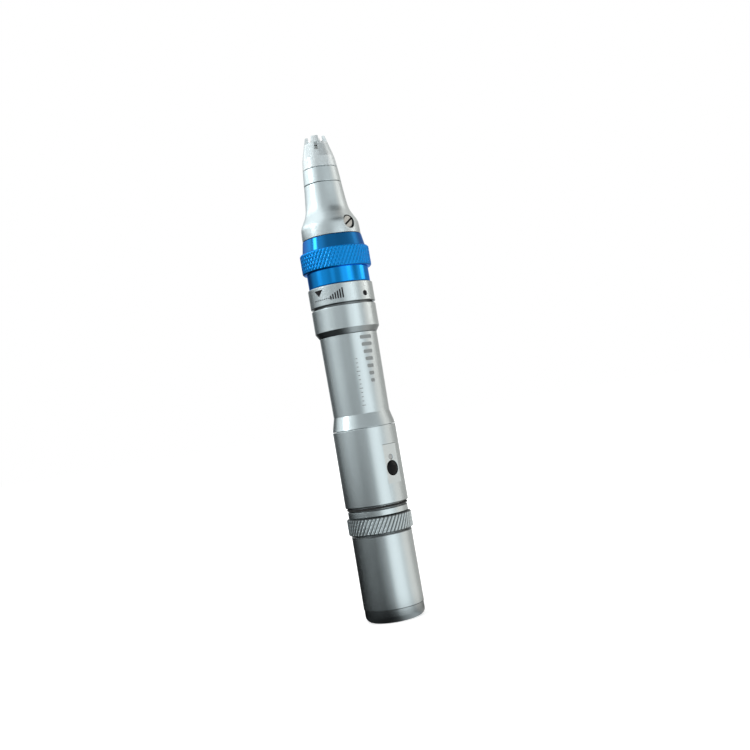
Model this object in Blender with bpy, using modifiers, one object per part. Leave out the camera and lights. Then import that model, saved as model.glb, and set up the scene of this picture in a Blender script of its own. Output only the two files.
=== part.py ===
"""Microneedling pen: a slim cordless handpiece with a screw-on battery, a motor that drives a
push rod through a wobble cam, a blue ring that sets the needle depth, and a clear needle cartridge
locked into the nose by a quarter-turn bayonet.

The pen stands on its end cap. Its axis is Z, the needles point to +Z and the power button faces -Y.
Every length is in metres. Heights are stacked from the base up, and each hollow is worked out from
the outside in, so a changed wall or band carries its neighbours with it.
"""

import math

import bmesh
import bpy
import numpy as np
from mathutils import Matrix, Vector

# Clearances
CLEAR = 0.0003
SEAM = 0.00015
OVERRUN = 0.002
MERGE_DISTANCE = 0.00001

# Facet counts
SHELL_SIDES = 28
BORE_SIDES = 20
SMALL_SIDES = 14
PIN_SIDES = 10
SEAL_SECTION_SIDES = 5
CORNER_POINTS = 4
COIL_STEPS = 8
LEAD_POINTS = 7
WIRE_BEVEL_STEPS = 2

# Bands seen from outside, from the base up
CAP_HEIGHT = 0.0044
CAP_ROUNDING = 0.0030
SHELL_HEIGHT = 0.02495
COLLAR_SEAM = 0.0005
COLLAR_HEIGHT = 0.0058
BAND_HEIGHT = 0.00215
TAIL_GROOVE_HEIGHT = 0.0014
HOUSING_HEIGHT = 0.0264
FLARE_HEIGHT = 0.0053
BARREL_HEIGHT = 0.02705
FRONT_CHAMFER_HEIGHT = 0.00185
FRONT_BAND_HEIGHT = 0.0079
FRONT_GROOVE_HEIGHT = 0.0007
SCALE_HEIGHT = 0.0068
RING_LOWER_HEIGHT = 0.0054
RING_KNURL_HEIGHT = 0.0071
RING_UPPER_HEIGHT = 0.0044
NOSE_HEIGHT = 0.0189
LOCK_HEIGHT = 0.00535
NOZZLE_HEIGHT = 0.0115

# Outer radii, each as a step from the rear housing
HOUSING_RADIUS = 0.01096
SHELL_INSET = 0.0005
CAP_INSET = 0.00015
COLLAR_RISE = 0.00029
BAND_INSET = 0.00056
BARREL_INSET = 0.00121
FRONT_RISE = 0.00026
SCALE_RISE = 0.0001
RING_BAND_INSET = 0.0002
RING_TOP_INSET = 0.0006
RING_KNURL_RISE = 0.00115
NOSE_BASE_INSET = 0.0001
EDGE_BREAK = 0.0003

# Nose, lock ring and cartridge tip
NOSE_TOP_RADIUS = 0.0066
LOCK_TOP_RADIUS = 0.00614
NOZZLE_SHOULDER_HEIGHT = 0.00365
NOZZLE_SHOULDER_RADIUS = 0.0057
NOZZLE_TIP_RADIUS = 0.00353
NOSE_OUTLINE_SHARES = (
    (0.0, 1.0),
    (0.15, 0.93),
    (0.24, 0.79),
    (0.31, 0.60),
    (0.38, 0.43),
    (0.50, 0.28),
    (0.70, 0.13),
    (1.0, 0.0),
)

# Knurls on the depth ring and on the battery collar
KNURL_PITCH = 0.00165
KNURL_LEAN = math.radians(30)
KNURL_DEPTH = 0.0004
KNURL_CHAMFER = 0.0004

# Battery module and its collar
CAP_FLOOR = 0.0022
CAP_PLUG_HEIGHT = 0.0040
CAP_PLUG_WALL = 0.0009
SHELL_SKIRT_WALL = 0.0010
COLLAR_WALL = 0.00075
COLLAR_LIP_HEIGHT = 0.0010
CLIP_HEIGHT = 0.0008
CLIP_GAP = 0.0030
FERRULE_WALL = 0.0005
NECK_WALL = 0.0005
NECK_RISE = 0.0009
CONTACT_SPRING_HEIGHT = 0.0027
CONTACT_SPRING_TURNS = 2.5
CONTACT_WIRE_RADIUS = 0.0003
CONTACT_TIP_RADIUS = 0.0030
NUB_RADIUS = 0.0030
NUB_HEIGHT = 0.0010
INSULATOR_HEIGHT = 0.0008
CONTACT_PIN_RADIUS = 0.0012
CONTACT_PIN_HEIGHT = 0.0011
CONTACT_BOARD_HEIGHT = 0.0010
FERRULE_LIP = 0.0007
FERRULE_LIP_HEIGHT = 0.0030
TAIL_SEAL_WIRE = 0.00035

# Rear housing, button and board
HOUSING_WALL = 0.00096
PANEL_WIDTH = 0.0060
PANEL_HEIGHT = 0.0133
PANEL_RISE = 0.0066
BUTTON_RISE = 0.00504
BUTTON_RADIUS = 0.0023
BUTTON_PROUD = 0.0004
BUTTON_DOME = 0.0005
BUTTON_DOME_SHARES = (0.72, 0.3)
BUTTON_FLANGE = 0.0005
BUTTON_FLANGE_THICKNESS = 0.0004
BUTTON_DEPTH = 0.0021
BUTTON_TRAVEL = 0.0005
LENS_RISE = 0.00378
LENS_RADIUS = 0.0006
LED_WIDTH = 0.0016
LED_HEIGHT = 0.0010
LED_THICKNESS = 0.0008
BOARD_WIDTH = 0.0104
BOARD_SETBACK = 0.0038
BOARD_THICKNESS = 0.0010
BOARD_RISE = 0.0006
SWITCH_WIDTH = 0.0046
SWITCH_THICKNESS = 0.0011
SWITCH_PLUNGER_RADIUS = 0.0012
SWITCH_PLUNGER_HEIGHT = 0.0005
CRADLE_GAP = 0.00075
LEAD_RADIUS = 0.0004
LEAD_SPACING = 0.0050

# Barrel and motor
BARREL_WALL = 0.00125
BARREL_SPIGOT_HEIGHT = 0.0059
FRONT_SPIGOT_HEIGHT = 0.0055
FRONT_SPIGOT_WALL = 0.0006
PLATE_THICKNESS = 0.0012
DAMPER_WALL = 0.0003
DAMPER_INSET = 0.0020
MOTOR_RISE = 0.0032
MOTOR_BOSS_RADIUS = 0.0028
MOTOR_BOSS_HEIGHT = 0.0012
MOTOR_BEARING_DEPTH = 0.0070
ENDBELL_HEIGHT = 0.0020
ENDBELL_INSET = 0.0003
TERMINAL_WIDTH = 0.0016
TERMINAL_THICKNESS = 0.0005
TERMINAL_HEIGHT = 0.0016
TERMINAL_INSET = 0.0028
SHAFT_RADIUS = 0.0010

# Wobble cam, follower and push rod
NEEDLE_RECESS = 0.0003
NEEDLE_REACH = 0.0025
STROKE = NEEDLE_RECESS + NEEDLE_REACH
CAM_STANDOFF = 0.0020
CAM_HEIGHT = 0.0037
CAM_CHAMBER_GAP = 0.0018
FOLLOWER_ARM = 0.0042
ROLLER_RADIUS = 0.0012
ROLLER_WIDTH = 0.0013
ROLLER_AXLE_RADIUS = 0.00045
FOLLOWER_HUB_WALL = 0.0012
FOLLOWER_HUB_HEIGHT = 0.0030
CHEEK_THICKNESS = 0.0008
CHEEK_WIDTH = 0.0020
ROD_RADIUS = 0.0015
ROD_SPRING_WIRE = 0.0004
ROD_SPRING_TURNS = 5.0
ROD_SPRING_ROOM = 0.0115
BUSH_WALL = 0.0021
BUSH_HEIGHT = 0.0040
WIPER_HEIGHT = 0.0016
WIPER_INSET = 0.0004

# Depth ring, front housing and nose
SCALE_WALL = 0.00092
RING_WALL = 0.00116
NECK_HEIGHT = 0.0061
GUIDE_WALL = 0.0014
RETAINER_HEIGHT = 0.0008
RETAINER_RISE = 0.0028
RETAINER_DEPTH = 0.0007
SKIRT_RISE = 0.0005
DEPTH_TRAVEL = 0.00225
SOCKET_DEPTH = 0.0083
SCREW_RISE = 0.0037
SCREW_RADIUS = 0.0021
SCREW_HEAD_HEIGHT = 0.0012
SCREW_SINK = 0.00075
SCREW_SHANK_RADIUS = 0.0013
SCREW_TIP_DEPTH = 0.0010
SCREW_SLOT_WIDTH = 0.0005
SCREW_SLOT_DEPTH = 0.0005
SCREW_SLOT_LEAN = math.radians(34)

# Cartridge, lock ring and needles
LOCK_WALL = 0.00124
LOCK_LAND_HEIGHT = 0.0020
LOCK_SLOT_WIDTH = 0.0024
LOCK_SPIGOT_HEIGHT = 0.0018
LOCK_SPIGOT_WALL = 0.0006
LUG_DEPTH = 0.0008
LUG_HEIGHT = 0.0010
SEAL_RISE = 0.0049
SEAL_WIRE = 0.0003
NOZZLE_NECK_WALL = 0.0012
NOZZLE_LIP_WALL = 0.00093
NOZZLE_LIP_HEIGHT = 0.0041
CROWN_NOTCH_WIDTH = 0.0030
CROWN_NOTCH_DEPTH = 0.0022
WINDOW_WIDTH = 0.0012
WINDOW_HEIGHT = 0.0028
WINDOW_RISE = 0.0062
CARRIER_STEM_RADIUS = 0.0017
CARRIER_FLANGE_HEIGHT = 0.0012
CARRIER_HEAD_INSET = 0.0004
PLATE_GAP = 0.0003
NEEDLE_PLATE_HEIGHT = 0.0008
NEEDLE_LENGTH = 0.0021
NEEDLE_RADIUS = 0.00016
NEEDLE_POINT_SHARE = 0.15
NEEDLE_COUNT = 12
NEEDLE_RING_COUNT = 8
NEEDLE_CIRCLE_SHARES = (0.68, 0.30)
NEEDLE_SIDES = 5
CARTRIDGE_WIRE = 0.0003
CARTRIDGE_TURNS = 5.0
CARTRIDGE_BARREL_GAP = 0.0004

# Heights where bands meet
cap_top = CAP_HEIGHT
shell_base = cap_top + SEAM
shell_top = shell_base + SHELL_HEIGHT
collar_base = shell_top + COLLAR_SEAM
collar_top = collar_base + COLLAR_HEIGHT
band_base = collar_top + SEAM
band_top = band_base + BAND_HEIGHT
housing_base = band_top + TAIL_GROOVE_HEIGHT
housing_top = housing_base + HOUSING_HEIGHT
barrel_base = housing_top + SEAM
flare_top = barrel_base + FLARE_HEIGHT
barrel_top = flare_top + BARREL_HEIGHT
front_base = barrel_top + SEAM
front_shoulder = front_base + FRONT_CHAMFER_HEIGHT
front_band_top = front_shoulder + FRONT_BAND_HEIGHT
scale_base = front_band_top + FRONT_GROOVE_HEIGHT
scale_top = scale_base + SCALE_HEIGHT
ring_base = scale_top + SEAM
knurl_base = ring_base + RING_LOWER_HEIGHT
knurl_top = knurl_base + RING_KNURL_HEIGHT
ring_top = knurl_top + RING_UPPER_HEIGHT
nose_base = ring_top + SEAM
nose_top = nose_base + NOSE_HEIGHT
lock_base = nose_top + SEAM
lock_top = lock_base + LOCK_HEIGHT
nozzle_base = lock_top + SEAM
nozzle_top = nozzle_base + NOZZLE_HEIGHT

# Outer radii
shell_radius = HOUSING_RADIUS - SHELL_INSET
cap_radius = shell_radius - CAP_INSET
collar_radius = HOUSING_RADIUS + COLLAR_RISE
band_radius = HOUSING_RADIUS - BAND_INSET
barrel_radius = HOUSING_RADIUS - BARREL_INSET
front_radius = HOUSING_RADIUS + FRONT_RISE
scale_radius = front_radius + SCALE_RISE
ring_band_radius = HOUSING_RADIUS - RING_BAND_INSET
ring_top_radius = HOUSING_RADIUS - RING_TOP_INSET
ring_knurl_radius = HOUSING_RADIUS + RING_KNURL_RISE
nose_base_radius = ring_top_radius - NOSE_BASE_INSET

# Radii inside the tail, from the collar inwards
collar_bore = collar_radius - KNURL_DEPTH - COLLAR_WALL
ferrule_neck_radius = collar_bore - CLEAR
ferrule_bore = ferrule_neck_radius - FERRULE_WALL
neck_radius = ferrule_bore - CLEAR
shell_bore = neck_radius - NECK_WALL
cell_radius = shell_bore - CLEAR
skirt_bore = shell_radius - SHELL_SKIRT_WALL
plug_radius = skirt_bore - CLEAR
plug_bore = plug_radius - CAP_PLUG_WALL

# Radii inside the housing and the barrel
housing_bore = HOUSING_RADIUS - HOUSING_WALL
spigot_radius = housing_bore - CLEAR
barrel_bore = barrel_radius - BARREL_WALL
front_spigot_radius = barrel_bore - CLEAR
chamber_bore = front_spigot_radius - FRONT_SPIGOT_WALL
damper_radius = barrel_bore - CLEAR
motor_radius = damper_radius - DAMPER_WALL - CLEAR
cam_radius = chamber_bore - CAM_CHAMBER_GAP

# Radii inside the depth ring and the nose
ring_bore = ring_top_radius - RING_WALL
front_neck_radius = ring_bore - CLEAR
rod_bore = ROD_RADIUS + CLEAR
bush_radius = rod_bore + BUSH_WALL
guide_bore = bush_radius + CLEAR
guide_radius = guide_bore + GUIDE_WALL
guide_seat_bore = guide_radius + CLEAR
socket_bore = LOCK_TOP_RADIUS - LOCK_WALL
cartridge_radius = socket_bore - CLEAR
nozzle_bore = cartridge_radius - NOZZLE_NECK_WALL
nozzle_mouth = NOZZLE_TIP_RADIUS - NOZZLE_LIP_WALL
carrier_head_radius = nozzle_mouth - CARRIER_HEAD_INSET
stem_bore = CARRIER_STEM_RADIUS + CLEAR

# Heights inside the tail
plug_top = cap_top + CAP_PLUG_HEIGHT
cell_base = CAP_FLOOR + CLEAR + CONTACT_SPRING_HEIGHT + CLEAR
neck_top = band_top + NECK_RISE
insulator_base = neck_top + CLEAR
insulator_top = insulator_base + INSULATOR_HEIGHT
nub_top = neck_top + NUB_HEIGHT
pin_base = max(nub_top, insulator_top) + CLEAR
pin_top = pin_base + CONTACT_PIN_HEIGHT
contact_board_base = pin_top + CLEAR
contact_board_top = contact_board_base + CONTACT_BOARD_HEIGHT
ferrule_lip_base = contact_board_top + CLEAR
ferrule_top = ferrule_lip_base + FERRULE_LIP_HEIGHT
clip_base = collar_base + COLLAR_LIP_HEIGHT + CLEAR
ferrule_base = clip_base + CLIP_HEIGHT + CLEAR

# Panel, board and button
panel_base = housing_base + PANEL_RISE
panel_face = math.sqrt(HOUSING_RADIUS**2 - (PANEL_WIDTH / 2) ** 2)
button_height = panel_base + BUTTON_RISE
button_face = panel_face + BUTTON_PROUD
button_back = button_face - BUTTON_DEPTH
lens_height = button_height + LENS_RISE
plunger_face = button_back - BUTTON_TRAVEL - CLEAR
switch_face = plunger_face - SWITCH_PLUNGER_HEIGHT
board_face = switch_face - SWITCH_THICKNESS - CLEAR
board_back = board_face - BOARD_THICKNESS
board_base = ferrule_top + BOARD_RISE
board_top = housing_top - BOARD_SETBACK
cradle_face = board_back - CLEAR

# Motor, cam and follower
spigot_base = barrel_base - BARREL_SPIGOT_HEIGHT
front_spigot_base = front_base - FRONT_SPIGOT_HEIGHT
plate_top = front_spigot_base - CLEAR
plate_base = plate_top - PLATE_THICKNESS
motor_top = plate_base - CLEAR
motor_base = barrel_base + MOTOR_RISE
endbell_radius = motor_radius - ENDBELL_INSET
terminal_reach = endbell_radius - TERMINAL_INSET
endbell_top = motor_base - CLEAR
endbell_base = endbell_top - ENDBELL_HEIGHT
terminal_top = endbell_base - CLEAR
terminal_base = terminal_top - TERMINAL_HEIGHT
boss_top = motor_top + MOTOR_BOSS_HEIGHT
bearing_base = motor_top - MOTOR_BEARING_DEPTH
cam_base = plate_top + CAM_STANDOFF
cam_middle = cam_base + CAM_HEIGHT
cam_slope = STROKE / 2 / FOLLOWER_ARM
roller_reach = FOLLOWER_ARM + ROLLER_WIDTH / 2
roller_height = cam_middle + cam_slope * roller_reach + CLEAR + ROLLER_RADIUS
hub_base = roller_height + ROLLER_RADIUS + CLEAR
hub_top = hub_base + FOLLOWER_HUB_HEIGHT
chamber_top = hub_top + STROKE + CLEAR
shaft_top = cam_middle - cam_slope * (SHAFT_RADIUS + CLEAR) - CLEAR

# Guide tube, bushes and cartridge socket
socket_base = nose_top - SOCKET_DEPTH
guide_base = chamber_top + CLEAR
guide_top = socket_base - 2 * CLEAR
lower_bush_base = hub_top + ROD_SPRING_ROOM
wiper_top = guide_top - WIPER_INSET
wiper_base = wiper_top - WIPER_HEIGHT
upper_bush_base = nose_base + SCREW_RISE - SCREW_SHANK_RADIUS - CLEAR - BUSH_HEIGHT
front_neck_top = ring_base + NECK_HEIGHT
skirt_base = front_neck_top + SKIRT_RISE
retainer_base = ring_base + RETAINER_RISE
screw_height = nose_base + SCREW_RISE

# Cartridge
carrier_base = guide_top + CLEAR
cartridge_barrel_base = socket_base + CARTRIDGE_BARREL_GAP
cartridge_barrel_top = nose_top
nozzle_neck_base = cartridge_barrel_top + CLEAR
flange_base = nozzle_neck_base
flange_top = flange_base + CARRIER_FLANGE_HEIGHT
needle_tip = nozzle_top - NEEDLE_RECESS
needle_plate_top = needle_tip - NEEDLE_LENGTH
needle_plate_base = needle_plate_top - NEEDLE_PLATE_HEIGHT
carrier_top = needle_plate_base - PLATE_GAP
nozzle_step = nozzle_top - NOZZLE_LIP_HEIGHT
lock_spigot_radius = socket_bore + LOCK_SPIGOT_WALL
lock_cavity = lock_spigot_radius + CLEAR
lock_land_base = lock_top - LOCK_LAND_HEIGHT
lug_top = lock_land_base - CLEAR
lug_base = lug_top - LUG_HEIGHT
seal_height = socket_base + SEAL_RISE

# Surfaces: colour, roughness, metallic
SILVER = ((0.62, 0.65, 0.66), 0.32, 1.0)
BLUE = ((0.01, 0.17, 0.62), 0.22, 1.0)
STEEL = ((0.55, 0.55, 0.54), 0.25, 1.0)
BRONZE = ((0.50, 0.33, 0.14), 0.40, 1.0)
BRASS = ((0.78, 0.58, 0.24), 0.30, 1.0)
BLACK_PLASTIC = ((0.012, 0.012, 0.013), 0.25, 0.0)
WHITE_PLASTIC = ((0.80, 0.80, 0.78), 0.45, 0.0)
RUBBER = ((0.02, 0.02, 0.02), 0.75, 0.0)
CLEAR_PLASTIC = ((0.86, 0.90, 0.91), 0.12, 0.0)
BOARD_GREEN = ((0.02, 0.16, 0.07), 0.45, 0.0)
CELL_WRAP = ((0.05, 0.22, 0.16), 0.35, 0.0)
RED_WIRE = ((0.60, 0.02, 0.02), 0.45, 0.0)
BLACK_WIRE = ((0.02, 0.02, 0.02), 0.45, 0.0)


def clear_scene():
    """Starts from an empty scene with one collection for the pen and one for its cutters."""
    for old in list(bpy.data.objects):
        bpy.data.objects.remove(old, do_unlink=True)
    made = []
    for name in ("microneedling_pen", "cutters"):
        group = bpy.data.collections.new(name)
        bpy.context.scene.collection.children.link(group)
        made.append(group)
    return made


PEN, CUTTERS = clear_scene()


def surface(name, finish):
    """A Principled material from a colour, a roughness and a metallic value."""
    colour, roughness, metallic = finish
    material = bpy.data.materials.new(name)
    material.use_nodes = True
    shader = material.node_tree.nodes["Principled BSDF"]
    shader.inputs["Base Color"].default_value = (*colour, 1.0)
    shader.inputs["Roughness"].default_value = roughness
    shader.inputs["Metallic"].default_value = metallic
    material.diffuse_color = (*colour, 1.0)
    return material


def add_piece(name, data, finish, location=(0, 0, 0), rotation=(0, 0, 0)):
    """Puts mesh or curve data in the pen's collection as a named piece with its own material."""
    piece = bpy.data.objects.new(name, data)
    piece.location = location
    piece.rotation_euler = rotation
    data.materials.append(surface(name, finish))
    PEN.objects.link(piece)
    return piece


def add_cutter(tool):
    """Keeps a shape that only cuts or joins out of the renders and in its own collection."""
    for group in list(tool.users_collection):
        group.objects.unlink(tool)
    CUTTERS.objects.link(tool)
    tool.hide_render = True
    tool.display_type = "WIRE"
    return tool


def outline_mesh(name, outline):
    """A chain of edges through (radius, height) points, closed when it never meets the axis."""
    closed = outline[0][0] > 0
    points = [(radius, 0, height) for radius, height in outline]
    edges = [(i, i + 1) for i in range(len(points) - 1)]
    if closed:
        edges.append((len(points) - 1, 0))
    mesh = bpy.data.meshes.new(name)
    mesh.from_pydata(points, edges, [])
    return mesh


def spin(piece, sides):
    """Turns an outline about its own Z axis."""
    screw = piece.modifiers.new("Turned", "SCREW")
    screw.axis = "Z"
    screw.angle = math.tau
    screw.screw_offset = 0
    screw.steps = sides
    screw.render_steps = sides
    screw.use_merge_vertices = True
    screw.merge_threshold = MERGE_DISTANCE
    screw.use_smooth_shade = True
    return piece


def turned(name, outline, finish, sides=SHELL_SIDES, origin=0.0):
    """A piece turned about the pen's axis. The outline runs down its outer side."""
    local = [(radius, height - origin) for radius, height in outline]
    return spin(add_piece(name, outline_mesh(name, local), finish, (0, 0, origin)), sides)


def turned_facing_front(name, outline, finish, height, sides=SMALL_SIDES):
    """A piece turned about an axis that leaves the pen towards -Y at a height.
    The outline's second value is the distance from the pen's axis."""
    mesh = outline_mesh(name, outline)
    return spin(add_piece(name, mesh, finish, (0, 0, height), (math.pi / 2, 0, 0)), sides)


def box_mesh(name, low, high):
    """A box between two corners, given about its own origin."""
    mesh = bpy.data.meshes.new(name)
    form = bmesh.new()
    bmesh.ops.create_cube(form, size=1.0)
    size = Vector(high) - Vector(low)
    middle = (Vector(high) + Vector(low)) / 2
    place = Matrix.Translation(middle) @ Matrix.Diagonal((*size, 1))
    bmesh.ops.transform(form, verts=form.verts, matrix=place)
    form.to_mesh(mesh)
    form.free()
    return mesh


def box_tool(name, low, high, turn=(0, 0, 0), at=(0, 0, 0)):
    """A box that cuts or joins, turned about a point."""
    tool = bpy.data.objects.new(name, box_mesh(name, low, high))
    tool.location = at
    tool.rotation_euler = turn
    CUTTERS.objects.link(tool)
    return add_cutter(tool)


def front_rod_tool(name, radius, near, far, height, sides=SMALL_SIDES):
    """A round bar along -Y between two distances from the pen's axis."""
    outline = [(0, far), (radius, far), (radius, near), (0, near)]
    tool = bpy.data.objects.new(name, outline_mesh(name, outline))
    tool.location = (0, 0, height)
    tool.rotation_euler = (math.pi / 2, 0, 0)
    CUTTERS.objects.link(tool)
    return add_cutter(spin(tool, sides))


def combine(piece, tool, operation):
    """Adds an exact Boolean."""
    step = piece.modifiers.new(tool.name, "BOOLEAN")
    step.operation = operation
    step.solver = "EXACT"
    step.object = tool
    return piece


def cut(piece, tool):
    return combine(piece, tool, "DIFFERENCE")


def join(piece, tool):
    return combine(piece, tool, "UNION")


def wire(name, points, radius, finish, location=(0, 0, 0)):
    """A round wire through points given from its location."""
    curve = bpy.data.curves.new(name, "CURVE")
    curve.dimensions = "3D"
    curve.bevel_depth = radius
    curve.bevel_resolution = WIRE_BEVEL_STEPS
    curve.use_fill_caps = True
    line = curve.splines.new("POLY")
    line.points.add(len(points) - 1)
    for spot, point in zip(line.points, points):
        spot.co = (*point, 1)
    return add_piece(name, curve, finish, location)


def coil(name, base, top, radius_base, radius_top, wire_radius, turns, finish):
    """A spring whose wire climbs evenly from base to top while its radius runs between two values."""
    count = int(round(turns * COIL_STEPS)) + 1
    share = np.linspace(0, 1, count)
    angle = share * turns * math.tau
    radius = radius_base + (radius_top - radius_base) * share
    low = wire_radius
    high = top - base - wire_radius
    points = np.stack([radius * np.cos(angle), radius * np.sin(angle), low + (high - low) * share], axis=1)
    return wire(name, points.tolist(), wire_radius, finish, (0, 0, base))


def seal_ring(name, radius, wire_radius, height):
    """An O-ring: a small round section turned about the pen's axis."""
    turn = np.arange(SEAL_SECTION_SIDES) * (-math.tau / SEAL_SECTION_SIDES)
    section = [(radius + wire_radius * math.cos(a), height + wire_radius * math.sin(a)) for a in turn]
    return turned(name, section, RUBBER, SHELL_SIDES, height)


def ring_of_points(form, radius, height, count):
    """A level circle of vertices."""
    angle = np.arange(count) * (math.tau / count)
    return [form.verts.new((radius * math.cos(a), radius * math.sin(a), height)) for a in angle]


def knurl_rows(form, radius, depth, low, high, teeth):
    """Rings of twice as many vertices as teeth, crest and valley by turns, so that raised
    diamonds stand between two crossing sets of slanted grooves."""
    half_pitch = math.pi * radius / teeth
    rows = max(2, int(round((high - low) / (half_pitch / math.tan(KNURL_LEAN)))))
    rings = []
    for row in range(rows + 1):
        height = low + (high - low) * row / rows
        ring = ring_of_points(form, radius, height, 2 * teeth)
        for column, vertex in enumerate(ring):
            if (row + column) % 2:
                vertex.co.xy = vertex.co.xy * ((radius - depth) / radius)
        rings.append(ring)
    return rings


def knurl_faces(form, rings):
    """Each cell between two knurl rings is split along its two valleys."""
    count = len(rings[0])
    for row in range(len(rings) - 1):
        lower, upper = rings[row], rings[row + 1]
        for i in range(count):
            j = (i + 1) % count
            a, b, c, d = lower[i], lower[j], upper[j], upper[i]
            if (row + i) % 2:
                form.faces.new((a, b, c))
                form.faces.new((a, c, d))
            else:
                form.faces.new((a, b, d))
                form.faces.new((b, c, d))


def band_faces(form, first, second):
    """Joins two rings of points, also where one has twice as many as the other."""
    if len(first) > len(second):
        first, second = second, first
    count = len(first)
    for i in range(count):
        j = (i + 1) % count
        if len(second) == count:
            form.faces.new((first[i], first[j], second[j], second[i]))
        else:
            a, b, c = second[2 * i], second[2 * i + 1], second[2 * j]
            form.faces.new((first[i], b, a))
            form.faces.new((first[i], first[j], b))
            form.faces.new((first[j], c, b))


def knurled(name, radius, low, high, rest, finish, origin):
    """A ring with a knurled band and a plain section for the rest, given as (radius, height)
    from just above the knurl, over the top, down the bore and back up to just below the knurl."""
    teeth = int(round(math.tau * radius / KNURL_PITCH))
    form = bmesh.new()
    rings = knurl_rows(form, radius, KNURL_DEPTH, low - origin, high - origin, teeth)
    knurl_faces(form, rings)
    plain = [ring_of_points(form, r, z - origin, teeth) for r, z in rest]
    band_faces(form, plain[0], rings[-1])
    band_faces(form, plain[-1], rings[0])
    for first, second in zip(plain, plain[1:]):
        band_faces(form, first, second)
    bmesh.ops.recalc_face_normals(form, faces=form.faces)
    mesh = bpy.data.meshes.new(name)
    form.to_mesh(mesh)
    form.free()
    return add_piece(name, mesh, finish, (0, 0, origin))


def end_cap():
    """Turned cap that closes the battery tube and is the foot that the pen stands on."""
    turn = np.linspace(0, math.pi / 2, CORNER_POINTS)
    corner = [
        (cap_radius - CAP_ROUNDING + CAP_ROUNDING * math.cos(a), CAP_ROUNDING - CAP_ROUNDING * math.sin(a))
        for a in turn
    ]
    outline = [
        (0, CAP_FLOOR),
        (plug_bore, CAP_FLOOR),
        (plug_bore, plug_top),
        (plug_radius, plug_top),
        (plug_radius, cap_top),
        (cap_radius, cap_top),
        *corner,
        (0, 0),
    ]
    return [turned("end_cap", outline, SILVER)]


def battery_shell():
    """Outer tube of the battery, with the thin neck that slides into the ferrule."""
    outline = [
        (shell_bore, neck_top),
        (neck_radius, neck_top),
        (neck_radius, shell_top),
        (shell_radius - EDGE_BREAK, shell_top),
        (shell_radius, shell_top - EDGE_BREAK),
        (shell_radius, shell_base),
        (skirt_bore, shell_base),
        (skirt_bore, plug_top + CLEAR),
        (shell_bore, plug_top + CLEAR),
    ]
    return [turned("battery_shell", outline, SILVER)]


def battery_cell():
    """Round lithium cell with its raised contact, the ring that insulates it and its spring."""
    outline = [
        (0, nub_top),
        (NUB_RADIUS, nub_top),
        (NUB_RADIUS, neck_top),
        (cell_radius, neck_top),
        (cell_radius, cell_base),
        (0, cell_base),
    ]
    cell = turned("battery_cell", outline, CELL_WRAP, BORE_SIDES)
    hole = NUB_RADIUS + CLEAR
    ring = [
        (hole, insulator_top),
        (neck_radius, insulator_top),
        (neck_radius, insulator_base),
        (hole, insulator_base),
    ]
    insulator = turned("cell_insulator", ring, BLACK_PLASTIC, BORE_SIDES)
    spring = coil(
        "contact_spring",
        CAP_FLOOR + CLEAR,
        cell_base - CLEAR,
        plug_bore - CLEAR - CONTACT_WIRE_RADIUS,
        CONTACT_TIP_RADIUS,
        CONTACT_WIRE_RADIUS,
        CONTACT_SPRING_TURNS,
        STEEL,
    )
    return [cell, insulator, spring]


def battery_collar():
    """Knurled nut that draws the battery onto the ferrule."""
    foot = neck_radius + CLEAR
    lip_top = collar_base + COLLAR_LIP_HEIGHT
    edge = collar_radius - KNURL_DEPTH - KNURL_CHAMFER / 2
    rest = [
        (edge, collar_top),
        (collar_bore, collar_top),
        (collar_bore, lip_top),
        (foot, lip_top),
        (foot, collar_base),
        (edge, collar_base),
    ]
    low = collar_base + KNURL_CHAMFER
    high = collar_top - KNURL_CHAMFER
    return [knurled("battery_collar", collar_radius, low, high, rest, SILVER, collar_base)]


def collar_clip():
    """Split spring ring on the battery neck that keeps the collar on it."""
    bore = neck_radius + SEAM
    clip_top = clip_base + CLIP_HEIGHT
    outline = [
        (bore, clip_top),
        (ferrule_neck_radius, clip_top),
        (ferrule_neck_radius, clip_base),
        (bore, clip_base),
    ]
    clip = turned("collar_clip", outline, STEEL)
    half_gap = CLIP_GAP / 2
    low = (-half_gap, bore - OVERRUN, clip_base - OVERRUN)
    high = (half_gap, ferrule_neck_radius + OVERRUN, clip_top + OVERRUN)
    return [cut(clip, box_tool("clip_gap", low, high))]


def tail_ferrule():
    """Threaded ferrule fixed in the rear housing. Its band and the seal above it show."""
    lip_bore = ferrule_bore - FERRULE_LIP
    outline = [
        (lip_bore, ferrule_top),
        (spigot_radius, ferrule_top),
        (spigot_radius, band_top),
        (band_radius, band_top),
        (band_radius, band_base),
        (ferrule_neck_radius, band_base),
        (ferrule_neck_radius, ferrule_base),
        (ferrule_bore, ferrule_base),
        (ferrule_bore, ferrule_lip_base),
        (lip_bore, ferrule_lip_base),
    ]
    ferrule = turned("tail_ferrule", outline, SILVER)
    seal_radius = spigot_radius + SEAM + TAIL_SEAL_WIRE
    seal = seal_ring("tail_seal", seal_radius, TAIL_SEAL_WIRE, (band_top + housing_base) / 2)
    return [ferrule, seal]


def battery_contacts():
    """Contact board under the ferrule's lip, with the pin that meets the cell."""
    board_radius = ferrule_bore - CLEAR
    board = turned(
        "contact_board",
        [
            (0, contact_board_top),
            (board_radius, contact_board_top),
            (board_radius, contact_board_base),
            (0, contact_board_base),
        ],
        BOARD_GREEN,
        BORE_SIDES,
    )
    pin = turned(
        "contact_pin",
        [(0, pin_top), (CONTACT_PIN_RADIUS, pin_top), (CONTACT_PIN_RADIUS, pin_base), (0, pin_base)],
        BRASS,
        SMALL_SIDES,
    )
    return [board, pin]


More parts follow.
